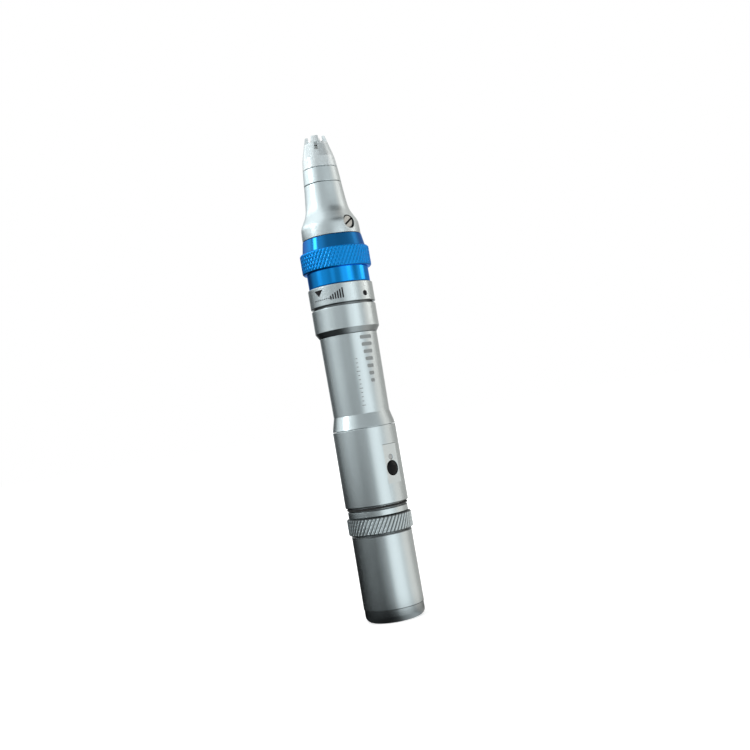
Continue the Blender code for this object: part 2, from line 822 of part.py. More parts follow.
def rear_housing():
    """Grip tube with a milled flat for the button and the lamp."""
    outline = [
        (housing_bore, housing_top),
        (HOUSING_RADIUS, housing_top),
        (HOUSING_RADIUS, housing_base + EDGE_BREAK),
        (HOUSING_RADIUS - EDGE_BREAK, housing_base),
        (housing_bore, housing_base),
    ]
    housing = turned("rear_housing", outline, SILVER)
    reach = HOUSING_RADIUS + OVERRUN
    low = (-PANEL_WIDTH, -reach, panel_base)
    high = (PANEL_WIDTH, -panel_face, panel_base + PANEL_HEIGHT)
    cut(housing, box_tool("panel_flat", low, high))
    inside = housing_bore - OVERRUN
    cut(housing, front_rod_tool("button_hole", BUTTON_RADIUS + CLEAR, inside, reach, button_height))
    cut(housing, front_rod_tool("lens_hole", LENS_RADIUS + CLEAR, inside, reach, lens_height))
    return [housing]


def power_button():
    """Domed push button held in by its flange."""
    flange = BUTTON_RADIUS + BUTTON_FLANGE
    flange_face = button_back + BUTTON_FLANGE_THICKNESS
    shoulder = button_face - BUTTON_DOME
    outline = [
        (0, button_face),
        (BUTTON_RADIUS * BUTTON_DOME_SHARES[0], button_face - BUTTON_DOME * BUTTON_DOME_SHARES[1]),
        (BUTTON_RADIUS, shoulder),
        (BUTTON_RADIUS, flange_face),
        (flange, flange_face),
        (flange, button_back),
        (0, button_back),
    ]
    return [turned_facing_front("power_button", outline, BLACK_PLASTIC, button_height)]


def button_electronics():
    """Circuit board on its cradle, with the switch under the button and the lamp under its lens."""
    half = BOARD_WIDTH / 2
    middle = (board_base + board_top) / 2
    low = (-half, -board_face, board_base - middle)
    high = (half, -board_back, board_top - middle)
    board = add_piece("circuit_board", box_mesh("circuit_board", low, high), BOARD_GREEN, (0, 0, middle))

    half = SWITCH_WIDTH / 2
    seat = board_face + CLEAR
    body = box_mesh("tact_switch", (-half, -switch_face, -half), (half, -seat, half))
    switch = add_piece("tact_switch", body, BLACK_PLASTIC, (0, 0, button_height))
    root = (seat + switch_face) / 2
    join(switch, front_rod_tool("plunger", SWITCH_PLUNGER_RADIUS, root, plunger_face, button_height))

    led_face = seat + LED_THICKNESS
    low = (-LED_WIDTH / 2, -led_face, -LED_HEIGHT / 2)
    high = (LED_WIDTH / 2, -seat, LED_HEIGHT / 2)
    led = add_piece("status_led", box_mesh("status_led", low, high), WHITE_PLASTIC, (0, 0, lens_height))
    lens = turned_facing_front(
        "indicator_lens",
        [(0, panel_face), (LENS_RADIUS, panel_face), (LENS_RADIUS, led_face + CLEAR), (0, led_face + CLEAR)],
        CLEAR_PLASTIC,
        lens_height,
    )

    cradle_base = board_base - CLEAR
    cradle_top = spigot_base - CRADLE_GAP
    cradle = turned(
        "board_cradle",
        [(0, cradle_top), (spigot_radius, cradle_top), (spigot_radius, cradle_base), (0, cradle_base)],
        WHITE_PLASTIC,
        BORE_SIDES,
    )
    reach = spigot_radius + OVERRUN
    low = (-reach, -reach, cradle_base - OVERRUN)
    high = (reach, -cradle_face, cradle_top + OVERRUN)
    cut(cradle, box_tool("cradle_flat", low, high))
    return [board, switch, led, lens, cradle]


def lead(name, start, end, finish):
    """A short insulated wire that leaves its start and meets its end along the pen's axis."""
    share = np.linspace(0, 1, LEAD_POINTS)
    ease = share * share * (3 - 2 * share)
    start, end = np.array(start), np.array(end)
    points = start + (end - start) * np.stack([ease, ease, share], axis=1)
    return wire(name, points.tolist(), LEAD_RADIUS, finish)


def leads():
    """Two leads from the battery contacts to the board and two from the board to the motor."""
    made = []
    board_middle = -(board_face + board_back) / 2
    for sign, end_name, finish in ((-1, "minus", BLACK_WIRE), (1, "plus", RED_WIRE)):
        side = sign * LEAD_SPACING / 2
        contact = (side, board_middle / 2, contact_board_top + CLEAR)
        lower_pad = (side, board_middle, board_base - CLEAR)
        upper_pad = (side, board_middle, board_top + CLEAR)
        terminal = (sign * terminal_reach, 0, terminal_base - CLEAR)
        made.append(lead(f"battery_lead_{end_name}", contact, lower_pad, finish))
        made.append(lead(f"motor_lead_{end_name}", upper_pad, terminal, finish))
    return made


def main_barrel():
    """Waisted barrel over the motor, flared at its foot to the housing's width."""
    outline = [
        (barrel_bore, barrel_top),
        (barrel_radius - EDGE_BREAK, barrel_top),
        (barrel_radius, barrel_top - EDGE_BREAK),
        (barrel_radius, flare_top),
        (HOUSING_RADIUS, barrel_base),
        (spigot_radius, barrel_base),
        (spigot_radius, spigot_base),
        (barrel_bore, spigot_base),
    ]
    return [turned("main_barrel", outline, SILVER)]


def motor():
    """Motor can with its front bearing boss, rear end bell and terminals, rubber sleeve and
    the plate that locates it against the front housing."""
    bearing = SHAFT_RADIUS + CLEAR
    can = turned(
        "motor_can",
        [
            (0, bearing_base),
            (bearing, bearing_base),
            (bearing, boss_top),
            (MOTOR_BOSS_RADIUS, boss_top),
            (MOTOR_BOSS_RADIUS, motor_top),
            (motor_radius, motor_top),
            (motor_radius, motor_base),
            (0, motor_base),
        ],
        STEEL,
        BORE_SIDES,
    )
    endbell = turned(
        "motor_endbell",
        [(0, endbell_top), (endbell_radius, endbell_top), (endbell_radius, endbell_base), (0, endbell_base)],
        BLACK_PLASTIC,
        BORE_SIDES,
    )
    made = [can, endbell]
    for sign, side in ((-1, "left"), (1, "right")):
        name = f"motor_terminal_{side}"
        low = (-TERMINAL_WIDTH / 2, -TERMINAL_THICKNESS / 2, 0)
        high = (TERMINAL_WIDTH / 2, TERMINAL_THICKNESS / 2, TERMINAL_HEIGHT)
        place = (sign * terminal_reach, 0, terminal_base)
        made.append(add_piece(name, box_mesh(name, low, high), BRASS, place))

    damper_bore = motor_radius + CLEAR
    damper_base = motor_base + DAMPER_INSET
    damper_top = motor_top - DAMPER_INSET
    made.append(
        turned(
            "motor_damper",
            [
                (damper_bore, damper_top),
                (damper_radius, damper_top),
                (damper_radius, damper_base),
                (damper_bore, damper_base),
            ],
            RUBBER,
            BORE_SIDES,
        )
    )
    hole = MOTOR_BOSS_RADIUS + CLEAR
    made.append(
        turned(
            "motor_plate",
            [
                (hole, plate_top),
                (front_spigot_radius, plate_top),
                (front_spigot_radius, plate_base),
                (hole, plate_base),
            ],
            STEEL,
            BORE_SIDES,
        )
    )
    return made


def rotor():
    """Motor shaft and the wobble cam on it. The cam's face leans so that it rises and falls by the
    stroke under the follower as it turns, lowest at the front in the rest pose."""
    shaft_base = bearing_base + CLEAR
    shaft = turned(
        "motor_shaft",
        [(0, shaft_top), (SHAFT_RADIUS, shaft_top), (SHAFT_RADIUS, shaft_base), (0, shaft_base)],
        STEEL,
        SMALL_SIDES,
        shaft_base,
    )
    bore = SHAFT_RADIUS + CLEAR
    cam_top = cam_middle + cam_slope * cam_radius + OVERRUN
    cam = turned(
        "wobble_cam",
        [(bore, cam_top), (cam_radius, cam_top), (cam_radius, cam_base), (bore, cam_base)],
        BRONZE,
        BORE_SIDES,
        cam_base,
    )
    lean = math.atan(cam_slope)
    reach = 2 * cam_radius
    face = box_tool("cam_face", (-reach, -reach, 0), (reach, reach, reach), (lean, 0, 0), (0, 0, cam_middle))
    return [shaft, cut(cam, face)]


def cam_follower():
    """Push rod, the follower clamped on its foot and the roller that runs on the cam."""
    rod = turned(
        "push_rod",
        [(0, guide_top), (ROD_RADIUS, guide_top), (ROD_RADIUS, hub_base), (0, hub_base)],
        STEEL,
        SMALL_SIDES,
        hub_base,
    )
    hub_radius = rod_bore + FOLLOWER_HUB_WALL
    follower = turned(
        "cam_follower",
        [(rod_bore, hub_top), (hub_radius, hub_top), (hub_radius, hub_base), (rod_bore, hub_base)],
        STEEL,
        SMALL_SIDES,
        hub_base,
    )
    cheek_front = FOLLOWER_ARM - ROLLER_WIDTH / 2 - CLEAR
    cheek_back = cheek_front - CHEEK_THICKNESS
    cheek_base = roller_height - 2 * ROLLER_AXLE_RADIUS
    low = (-CHEEK_WIDTH / 2, -cheek_front, cheek_base)
    high = (CHEEK_WIDTH / 2, -cheek_back, (hub_base + hub_top) / 2)
    join(follower, box_tool("cheek", low, high))
    axle_root = (cheek_front + cheek_back) / 2
    axle_end = FOLLOWER_ARM + ROLLER_WIDTH / 2 + CLEAR
    axle = ROLLER_AXLE_RADIUS
    join(follower, front_rod_tool("roller_axle", axle, axle_root, axle_end, roller_height, PIN_SIDES))
    hole = axle + CLEAR
    near = FOLLOWER_ARM - ROLLER_WIDTH / 2
    far = FOLLOWER_ARM + ROLLER_WIDTH / 2
    outline = [(hole, far), (ROLLER_RADIUS, far), (ROLLER_RADIUS, near), (hole, near)]
    roller = turned_facing_front("follower_roller", outline, STEEL, roller_height)
    return [rod, follower, roller]


def rod_guides():
    """Guide tube in the front housing, with the rod's bushes, wiper and return spring."""
    outline = [
        (guide_bore, guide_top),
        (guide_radius, guide_top),
        (guide_radius, guide_base),
        (guide_bore, guide_base),
    ]
    tube = turned("guide_tube", outline, STEEL, BORE_SIDES)
    half = SCREW_SHANK_RADIUS + CLEAR
    low = (-half, -guide_radius - OVERRUN, screw_height - half)
    high = (half, -guide_bore / 2, screw_height + half + DEPTH_TRAVEL)
    cut(tube, box_tool("guide_slot", low, high))
    made = [tube]
    for name, base, height, finish in (
        ("lower_bush", lower_bush_base, BUSH_HEIGHT, BRONZE),
        ("upper_bush", upper_bush_base, BUSH_HEIGHT, BRONZE),
        ("rod_wiper", wiper_base, WIPER_HEIGHT, RUBBER),
    ):
        top = base + height
        outline = [(rod_bore, top), (bush_radius, top), (bush_radius, base), (rod_bore, base)]
        made.append(turned(name, outline, finish, SMALL_SIDES))
    coil_radius = rod_bore + ROD_SPRING_WIRE
    made.append(
        coil(
            "rod_spring",
            hub_top + CLEAR,
            lower_bush_base - CLEAR,
            coil_radius,
            coil_radius,
            ROD_SPRING_WIRE,
            ROD_SPRING_TURNS,
            STEEL,
        )
    )
    return made


def front_housing():
    """Front body: the spigot in the barrel, the cam chamber, the seat of the scale collar and
    the neck that the depth ring turns on."""
    seat = scale_radius - SCALE_WALL - CLEAR
    groove = front_neck_radius - RETAINER_DEPTH
    groove_base = retainer_base - CLEAR
    groove_top = retainer_base + RETAINER_HEIGHT + CLEAR
    outline = [
        (guide_seat_bore, front_neck_top),
        (front_neck_radius, front_neck_top),
        (front_neck_radius, groove_top),
        (groove, groove_top),
        (groove, groove_base),
        (front_neck_radius, groove_base),
        (front_neck_radius, scale_top - CLEAR),
        (seat, scale_top - CLEAR),
        (seat, front_band_top),
        (front_radius, front_band_top),
        (front_radius, front_shoulder),
        (barrel_radius + EDGE_BREAK, front_base),
        (front_spigot_radius, front_base),
        (front_spigot_radius, front_spigot_base),
        (chamber_bore, front_spigot_base),
        (chamber_bore, chamber_top),
        (guide_seat_bore, chamber_top),
    ]
    housing = turned("front_housing", outline, SILVER)
    bore = scale_radius - SCALE_WALL
    ring = [
        (bore, scale_top),
        (scale_radius - EDGE_BREAK, scale_top),
        (scale_radius, scale_top - EDGE_BREAK),
        (scale_radius, scale_base + EDGE_BREAK),
        (scale_radius - EDGE_BREAK, scale_base),
        (bore, scale_base),
    ]
    return [housing, turned("scale_collar", ring, SILVER)]


def depth_ring():
    """Knurled ring whose thread lifts the nose, and the split ring that holds it on the neck."""
    groove = ring_bore + RETAINER_DEPTH
    groove_base = retainer_base - CLEAR
    groove_top = retainer_base + RETAINER_HEIGHT + CLEAR
    edge = ring_knurl_radius - KNURL_DEPTH - KNURL_CHAMFER / 2
    rest = [
        (edge, knurl_top),
        (ring_band_radius, knurl_top),
        (ring_top_radius, ring_top),
        (ring_bore, ring_top),
        (ring_bore, groove_top),
        (groove, groove_top),
        (groove, groove_base),
        (ring_bore, groove_base),
        (ring_bore, ring_base),
        (ring_band_radius, ring_base),
        (ring_band_radius, knurl_base),
        (edge, knurl_base),
    ]
    low = knurl_base + KNURL_CHAMFER
    high = knurl_top - KNURL_CHAMFER
    ring = knurled("depth_ring", ring_knurl_radius, low, high, rest, BLUE, ring_base)

    inner = front_neck_radius - RETAINER_DEPTH + CLEAR
    outer = groove - CLEAR
    retainer_top = retainer_base + RETAINER_HEIGHT
    outline = [(inner, retainer_top), (outer, retainer_top), (outer, retainer_base), (inner, retainer_base)]
    retainer = turned("ring_retainer", outline, STEEL, SHELL_SIDES, retainer_base)
    half_gap = CLIP_GAP / 2
    low = (-half_gap, inner - OVERRUN, retainer_base - OVERRUN)
    high = (half_gap, outer + OVERRUN, retainer_top + OVERRUN)
    cut(retainer, box_tool("retainer_gap", low, high))
    return [ring, retainer]


def nose_cone():
    """Nose: the skirt threaded into the depth ring, the shouldered cone and the cartridge socket."""
    fall = nose_base_radius - NOSE_TOP_RADIUS
    flank = [
        (NOSE_TOP_RADIUS + fall * radius_share, nose_base + NOSE_HEIGHT * height_share)
        for height_share, radius_share in reversed(NOSE_OUTLINE_SHARES)
    ]
    groove = socket_bore + 2 * SEAL_WIRE
    groove_half = SEAL_WIRE + CLEAR
    spigot_top = nose_top + LOCK_SPIGOT_HEIGHT
    outline = [
        (socket_bore, spigot_top),
        (lock_spigot_radius, spigot_top),
        (lock_spigot_radius, nose_top),
        *flank,
        (front_neck_radius, nose_base),
        (front_neck_radius, skirt_base),
        (guide_seat_bore, skirt_base),
        (guide_seat_bore, socket_base),
        (socket_bore, socket_base),
        (socket_bore, seal_height - groove_half),
        (groove, seal_height - groove_half),
        (groove, seal_height + groove_half),
        (socket_bore, seal_height + groove_half),
    ]
    nose = turned("nose_cone", outline, SILVER, SHELL_SIDES, nose_base)

    heights = [height for height, _ in NOSE_OUTLINE_SHARES]
    radii = [radius for _, radius in NOSE_OUTLINE_SHARES]
    skin = NOSE_TOP_RADIUS + fall * float(np.interp(SCREW_RISE / NOSE_HEIGHT, heights, radii))
    head_face = skin - SCREW_SINK
    head_back = head_face - SCREW_HEAD_HEIGHT
    reach = nose_base_radius + OVERRUN
    recess = SCREW_RADIUS + CLEAR
    cut(nose, front_rod_tool("screw_recess", recess, head_back - CLEAR, reach, screw_height))
    shank_hole = SCREW_SHANK_RADIUS + CLEAR
    cut(nose, front_rod_tool("screw_hole", shank_hole, guide_bore, head_face, screw_height))

    tip = guide_radius - SCREW_TIP_DEPTH
    outline = [
        (0, head_face),
        (SCREW_RADIUS, head_face),
        (SCREW_RADIUS, head_back),
        (SCREW_SHANK_RADIUS, head_back),
        (SCREW_SHANK_RADIUS, tip),
        (0, tip),
    ]
    screw = turned_facing_front("guide_screw", outline, STEEL, screw_height)
    half = SCREW_SLOT_WIDTH / 2
    low = (-SCREW_RADIUS - OVERRUN, -head_face - OVERRUN, -half)
    high = (SCREW_RADIUS + OVERRUN, -head_face + SCREW_SLOT_DEPTH, half)
    slot = box_tool("driver_slot", low, high, (0, -SCREW_SLOT_LEAN, 0), (0, 0, screw_height))
    return [nose, cut(screw, slot)]


def lock_ring():
    """Ring on the nose with the two slots that let the cartridge's lugs in."""
    outline = [
        (socket_bore, lock_top),
        (LOCK_TOP_RADIUS, lock_top),
        (NOSE_TOP_RADIUS, lock_base),
        (lock_cavity, lock_base),
        (lock_cavity, lock_land_base),
        (socket_bore, lock_land_base),
    ]
    ring = turned("lock_ring", outline, SILVER, BORE_SIDES, lock_base)
    reach = cartridge_radius + LUG_DEPTH + CLEAR
    half = LOCK_SLOT_WIDTH / 2
    low = (-reach, -half, lock_land_base - CLEAR)
    high = (reach, half, lock_top + OVERRUN)
    cut(ring, box_tool("lug_slots", low, high))
    return [ring]


def cartridge_seal():
    """O-ring in the nose that grips the cartridge and turns with it."""
    return [seal_ring("cartridge_seal", socket_bore + SEAM, SEAL_WIRE, seal_height)]


def cartridge():
    """Clear nozzle with its lugs, crown and windows, the barrel that guides the needle carrier,
    and the spring that draws the needles back."""
    shoulder = nozzle_base + NOZZLE_SHOULDER_HEIGHT
    outline = [
        (nozzle_mouth, nozzle_top),
        (NOZZLE_TIP_RADIUS, nozzle_top),
        (NOZZLE_SHOULDER_RADIUS, shoulder),
        (LOCK_TOP_RADIUS, nozzle_base),
        (cartridge_radius, nozzle_base),
        (cartridge_radius, nozzle_neck_base),
        (nozzle_bore, nozzle_neck_base),
        (nozzle_bore, nozzle_step - CLEAR),
        (nozzle_mouth, nozzle_step),
    ]
    nozzle = turned("cartridge_nozzle", outline, CLEAR_PLASTIC, BORE_SIDES, nozzle_neck_base)
    lug_half = LOCK_SLOT_WIDTH / 2 - CLEAR
    lug_root = (cartridge_radius + nozzle_bore) / 2
    lug_tip = cartridge_radius + LUG_DEPTH
    for sign, side in ((-1, "left"), (1, "right")):
        low = (min(sign * lug_root, sign * lug_tip), -lug_half, lug_base)
        high = (max(sign * lug_root, sign * lug_tip), lug_half, lug_top)
        join(nozzle, box_tool(f"lug_{side}", low, high))
    reach = LOCK_TOP_RADIUS + OVERRUN
    window_base = nozzle_base + WINDOW_RISE
    for quarter in range(2):
        turn = (0, 0, quarter * math.pi / 2)
        low = (-reach, -CROWN_NOTCH_WIDTH / 2, nozzle_top - CROWN_NOTCH_DEPTH)
        high = (reach, CROWN_NOTCH_WIDTH / 2, nozzle_top + OVERRUN)
        cut(nozzle, box_tool(f"crown_notch_{quarter}", low, high, turn))
        turn = (0, 0, quarter * math.pi / 2 + math.pi / 4)
        low = (-reach, -WINDOW_WIDTH / 2, window_base)
        high = (reach, WINDOW_WIDTH / 2, window_base + WINDOW_HEIGHT)
        cut(nozzle, box_tool(f"window_{quarter}", low, high, turn))

    barrel = turned(
        "cartridge_barrel",
        [
            (stem_bore, cartridge_barrel_top),
            (cartridge_radius, cartridge_barrel_top),
            (cartridge_radius, cartridge_barrel_base),
            (stem_bore, cartridge_barrel_base),
        ],
        WHITE_PLASTIC,
        BORE_SIDES,
        cartridge_barrel_base,
    )
    coil_radius = nozzle_bore - CLEAR - CARTRIDGE_WIRE
    spring = coil(
        "cartridge_spring",
        flange_top + CLEAR,
        nozzle_step - 2 * CLEAR,
        coil_radius,
        coil_radius,
        CARTRIDGE_WIRE,
        CARTRIDGE_TURNS,
        STEEL,
    )
    return [nozzle, barrel, spring]


def needles():
    """Carrier that the push rod lifts, and the plate of needles on it."""
    flange_radius = nozzle_bore - CLEAR
    carrier = turned(
        "needle_carrier",
        [
            (0, carrier_top),
            (carrier_head_radius, carrier_top),
            (carrier_head_radius, flange_top),
            (flange_radius, flange_top),
            (flange_radius, flange_base),
            (CARRIER_STEM_RADIUS, flange_base),
            (CARRIER_STEM_RADIUS, carrier_base),
            (0, carrier_base),
        ],
        WHITE_PLASTIC,
        SMALL_SIDES,
        carrier_base,
    )
    plate = turned(
        "needle_cluster",
        [
            (0, needle_plate_top),
            (carrier_head_radius, needle_plate_top),
            (carrier_head_radius, needle_plate_base),
            (0, needle_plate_base),
        ],
        STEEL,
        SMALL_SIDES,
    )
    form = bmesh.new()
    root = (needle_plate_base + needle_plate_top) / 2
    height = needle_tip - root
    for number in range(NEEDLE_COUNT):
        outer = number < NEEDLE_RING_COUNT
        count = NEEDLE_RING_COUNT if outer else NEEDLE_COUNT - NEEDLE_RING_COUNT
        circle = carrier_head_radius * NEEDLE_CIRCLE_SHARES[0 if outer else 1]
        angle = math.tau * number / count
        place = Matrix.Translation((circle * math.cos(angle), circle * math.sin(angle), root + height / 2))
        bmesh.ops.create_cone(
            form,
            cap_ends=True,
            segments=NEEDLE_SIDES,
            radius1=NEEDLE_RADIUS,
            radius2=NEEDLE_RADIUS * NEEDLE_POINT_SHARE,
            depth=height,
            matrix=place,
        )
    mesh = bpy.data.meshes.new("needle_points")
    form.to_mesh(mesh)
    form.free()
    points = bpy.data.objects.new("needle_points", mesh)
    CUTTERS.objects.link(points)
    join(plate, add_cutter(points))
    return [carrier, plate]


def mount_on(name, place, pieces, parent=None):
    """Parents pieces to an empty on the axis they move about or along."""
    axis = bpy.data.objects.new(name, None)
    axis.empty_display_size = HOUSING_RADIUS
    axis.location = Vector(place) - (Vector(parent.location) if parent else Vector())
    axis.parent = parent
    PEN.objects.link(axis)
    bpy.context.view_layer.update()
    for piece in pieces:
        piece.parent = axis
        piece.matrix_parent_inverse = axis.matrix_world.inverted()
    return axis


def main():
    tail_ferrule()
    battery_contacts()
    rear_housing()
    button_electronics()
    leads()
    main_barrel()
    motor()
    rod_guides()
    front_housing()

    battery_pieces = end_cap() + battery_shell() + battery_cell() + collar_clip()
    module = mount_on("battery_pull", (0, 0, shell_top), battery_pieces)
    mount_on("battery_collar_turn", (0, 0, collar_base), battery_collar(), module)
    mount_on("button_press", (0, -panel_face, button_height), power_button())
    mount_on("motor_spin", (0, 0, cam_base), rotor())
    mount_on("push_rod_stroke", (0, 0, hub_base), cam_follower())
    mount_on("depth_ring_turn", (0, 0, ring_base), depth_ring())
    mount_on("nose_travel", (0, 0, nose_base), nose_cone() + lock_ring())
    mount_on("cartridge_twist", (0, 0, seal_height), cartridge_seal())
    mount_on("cartridge_pull", (0, 0, nozzle_neck_base), cartridge())
    mount_on("needle_stroke", (0, 0, carrier_base), needles())


main()
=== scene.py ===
"""Dressed model of the microneedling pen: every shell is turned, knurled or milled by a formula around
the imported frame, and every piece has a procedural finish.

Lengths in this file are in millimetres and become metres when a mesh is made. The pen's axis is Z, the
needles point to +Z and the power button faces -Y. An outline is a list of (radius, height, fillet).
"""

import math

import bmesh
import bpy
import numpy as np
from mathutils import Matrix, Vector


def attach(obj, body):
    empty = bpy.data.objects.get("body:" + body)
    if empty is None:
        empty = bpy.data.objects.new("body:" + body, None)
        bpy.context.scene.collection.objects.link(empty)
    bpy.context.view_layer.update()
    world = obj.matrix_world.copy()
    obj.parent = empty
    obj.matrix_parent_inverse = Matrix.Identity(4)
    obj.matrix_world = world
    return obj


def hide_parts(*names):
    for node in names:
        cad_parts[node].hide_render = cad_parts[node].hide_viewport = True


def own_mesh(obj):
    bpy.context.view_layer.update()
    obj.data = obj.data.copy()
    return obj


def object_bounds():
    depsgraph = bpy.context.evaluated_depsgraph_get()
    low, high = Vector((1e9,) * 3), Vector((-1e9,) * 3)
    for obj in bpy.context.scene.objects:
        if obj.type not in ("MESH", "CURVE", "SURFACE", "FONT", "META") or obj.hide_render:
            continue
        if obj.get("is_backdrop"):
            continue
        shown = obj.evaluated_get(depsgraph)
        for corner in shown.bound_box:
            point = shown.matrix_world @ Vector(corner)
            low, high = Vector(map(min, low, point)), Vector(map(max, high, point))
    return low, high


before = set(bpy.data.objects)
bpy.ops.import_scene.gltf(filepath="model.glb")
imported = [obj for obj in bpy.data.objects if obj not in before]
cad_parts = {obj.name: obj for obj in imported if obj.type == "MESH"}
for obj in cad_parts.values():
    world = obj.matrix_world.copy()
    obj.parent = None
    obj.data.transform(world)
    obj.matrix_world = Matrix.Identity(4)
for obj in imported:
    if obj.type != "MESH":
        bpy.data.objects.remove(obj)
cad_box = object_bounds()

bl_info = {
    "name": "Microneedling pen",
    "version": (1, 0, 0),
    "blender": (4, 5, 0),
    "location": "3D View > Sidebar > Pen",
    "description": "Builds the shells, rings, cartridge and finishes of a microneedling pen",
    "category": "Object",
}

MM = 0.001

# Heights where the bands meet, from the base up
CAP_FLOOR, CAP_TOP, CAP_ROUND, PLUG_TOP = 2.2, 4.4, 3.9, 8.4
SHELL_BASE, SHELL_SEAT, SHELL_TOP, NECK_TOP = 4.55, 8.7, 29.5, 39.0
CELL_BASE, CONTACT_TOP, INSULATOR_BASE, INSULATOR_TOP = 5.5, 40.0, 39.3, 40.1
COLLAR_BASE, COLLAR_LIP, COLLAR_TOP = 30.0, 31.0, 35.8
BAND_BASE, BAND_TOP, TAIL_SEAL = 35.95, 38.1, 38.8
FERRULE_BASE, FERRULE_LIP, FERRULE_TOP = 32.4, 43.1, 46.1
PIN_BASE, PIN_TOP, BOARD_BASE, BOARD_TOP = 40.4, 41.5, 41.8, 42.8
HOUSING_BASE, HOUSING_TOP = 39.5, 65.9
PANEL_BASE, PANEL_TOP, BUTTON_HEIGHT, LENS_HEIGHT = 46.1, 59.4, 51.14, 54.92
SPIGOT_BASE, BARREL_BASE, FLARE_TOP, BARREL_TOP = 60.15, 66.05, 71.35, 98.4
FRONT_SPIGOT, FRONT_BASE, FRONT_SHOULDER, FRONT_TOP = 93.05, 98.55, 100.4, 108.3
CHAMBER_TOP, SCALE_SEAT_TOP = 109.167, 115.5
SCALE_BASE, SCALE_TOP = 109.0, 115.8
RING_BASE, KNURL_BASE, KNURL_TOP, RING_TOP = 115.95, 121.35, 128.45, 132.85
RETAINER_LOW, RETAINER_HIGH, FRONT_NECK_TOP = 118.45, 119.85, 122.05
SKIRT_BASE, NOSE_BASE, NOSE_TOP, NOSE_SPIGOT = 122.55, 133.0, 151.9, 153.7
SCREW_HEIGHT, SOCKET_BASE, SEAL_HEIGHT, SEAL_HALF = 136.7, 143.6, 148.5, 0.6
LOCK_BASE, LAND_BASE, LOCK_TOP = 152.05, 155.4, 157.4
STEM_BASE, SLEEVE_BASE, FLANGE_BASE, FLANGE_TOP = 143.3, 144.0, 152.2, 153.4
NOZZLE_NECK, LUG_BASE, LUG_TOP = 152.2, 154.1, 155.1
NOZZLE_BASE, NOZZLE_SHOULDER, NOZZLE_FLANK = 157.55, 161.2, 162.5
WINDOW_BASE, WINDOW_STEP, WINDOW_WAIST, WINDOW_TOP = 163.75, 164.65, 165.6, 166.55
NOZZLE_STEP, NOZZLE_TOP, NOTCH_DEPTH = 164.95, 169.05, 2.2
CARRIER_TOP, PLATE_BASE, PLATE_TOP = 165.55, 165.85, 166.65
NEEDLE_ROOT, NEEDLE_SHOULDER, NEEDLE_POINT, NEEDLE_TIP = 166.35, 167.95, 168.73, 168.75
ROD_BASE, ROD_TOP = 103.067, 143.0

# Radii
CAP, PLUG, CAP_BORE = 10.31, 9.16, 8.26
SHELL, SHELL_SOCKET, SHELL_BORE, NECK = 10.46, 9.46, 8.5, 9.0
CELL, CONTACT, INSULATOR_BORE = 8.2, 3.0, 3.3
COLLAR, COLLAR_BORE, COLLAR_MOUTH = 11.25, 10.1, 9.3
BAND, FERRULE_NECK, FERRULE_BORE, FERRULE_MOUTH = 10.40, 9.8, 9.3, 8.6
CONTACT_BOARD, PIN = 9.0, 1.2
HOUSING, HOUSING_BORE, SPIGOT = 10.96, 10.0, 9.7
BARREL, BARREL_GAIN, BARREL_BORE = 9.75, 0.25, 8.5
FRONT, FRONT_FOOT, FRONT_PLUG, FRONT_GROOVE = 11.22, 10.05, 8.2, 8.2
SCALE_SEAT, CHAMBER, FRONT_NECK, GUIDE_SEAT = 10.1, 7.6, 8.9, 5.9
SCALE, SCALE_BORE = 11.32, 10.4
RING_CREST, RING_BAND, RING_UPPER, RING_BORE, RING_GROOVE = 12.11, 10.76, 10.36, 9.2, 9.9
NOSE_FOOT, NOSE_TIP, NOSE_PLUG, SEAL_GROOVE = 10.26, 6.6, 5.5, 5.5
LOCK_TIP, LOCK_SEAT, SOCKET, CARTRIDGE = 6.14, 5.8, 4.9, 4.6
NOZZLE_WIDE, NOZZLE_TIP, NOZZLE_BORE, NOZZLE_MOUTH = 5.7, 3.53, 3.4, 2.6
SLEEVE_BORE, CARRIER, CARRIER_FLANGE, CARRIER_STEM, PLATE = 2.0, 2.2, 3.1, 1.7, 2.2
NEEDLE, ROD, BUSH, BUSH_BORE = 0.15, 1.5, 3.9, 1.8
BUTTON, BUTTON_HOLE, LENS, LENS_HOLE = 2.3, 2.6, 0.82, 0.9

# Distances from the axis to the faces that look to -Y
PANEL_FACE, PANEL_HALF_WIDTH = 10.541, 3.0
BUTTON_CROWN, BUTTON_EDGE, BUTTON_SHOULDER, BUTTON_FLANGE, BUTTON_BACK = 10.941, 10.521, 10.40, 9.241, 8.841
LENS_FACE, LENS_BACK = 10.53, 7.541
SCREW_HEAD, SCREW_PIT, SCREW_LEAN = 2.1, 2.4, math.radians(34)
SCREW_FACE, SCREW_SEAT, PIT_FLOOR, SCREW_HOLE = 9.394, 7.794, 7.494, 1.6
SLOT_HALF, SLOT_DEPTH = 0.25, 0.5

# Lugs of the cartridge: half width, how far they stand out, and the slot that takes them
LUG_HALF, LUG_REACH, LUG_SLOT_HALF, LUG_SLOT_REACH = 0.9, 0.8, 1.2, 5.3

# How far a printed mark stands out and goes in, with the thickness of its ink
INK = 0.03

# Needles as (radius of their ring, number on it)
NEEDLE_RINGS = ((1.496, 8), (0.66, 4))

# The nose's flank, as shares of its height and of the step from its tip's radius to its foot's
NOSE_SHARES = (
    (0.0, 1.0),
    (0.14, 0.982),
    (0.225, 0.943),
    (0.238, 0.928),
    (0.36, 0.62),
    (0.43, 0.435),
    (0.51, 0.29),
    (0.60, 0.205),
    (0.72, 0.13),
    (1.0, 0.0),
)

# The photograph is taken from this side, in degrees round from the button towards -X
CAMERA_SIDE = -44.0

# The button's side, as an angle about the pen's axis, and the columns of the grid behind a hole there
BUTTON_SIDE = -math.pi / 2
HOLE_COLUMNS = 17


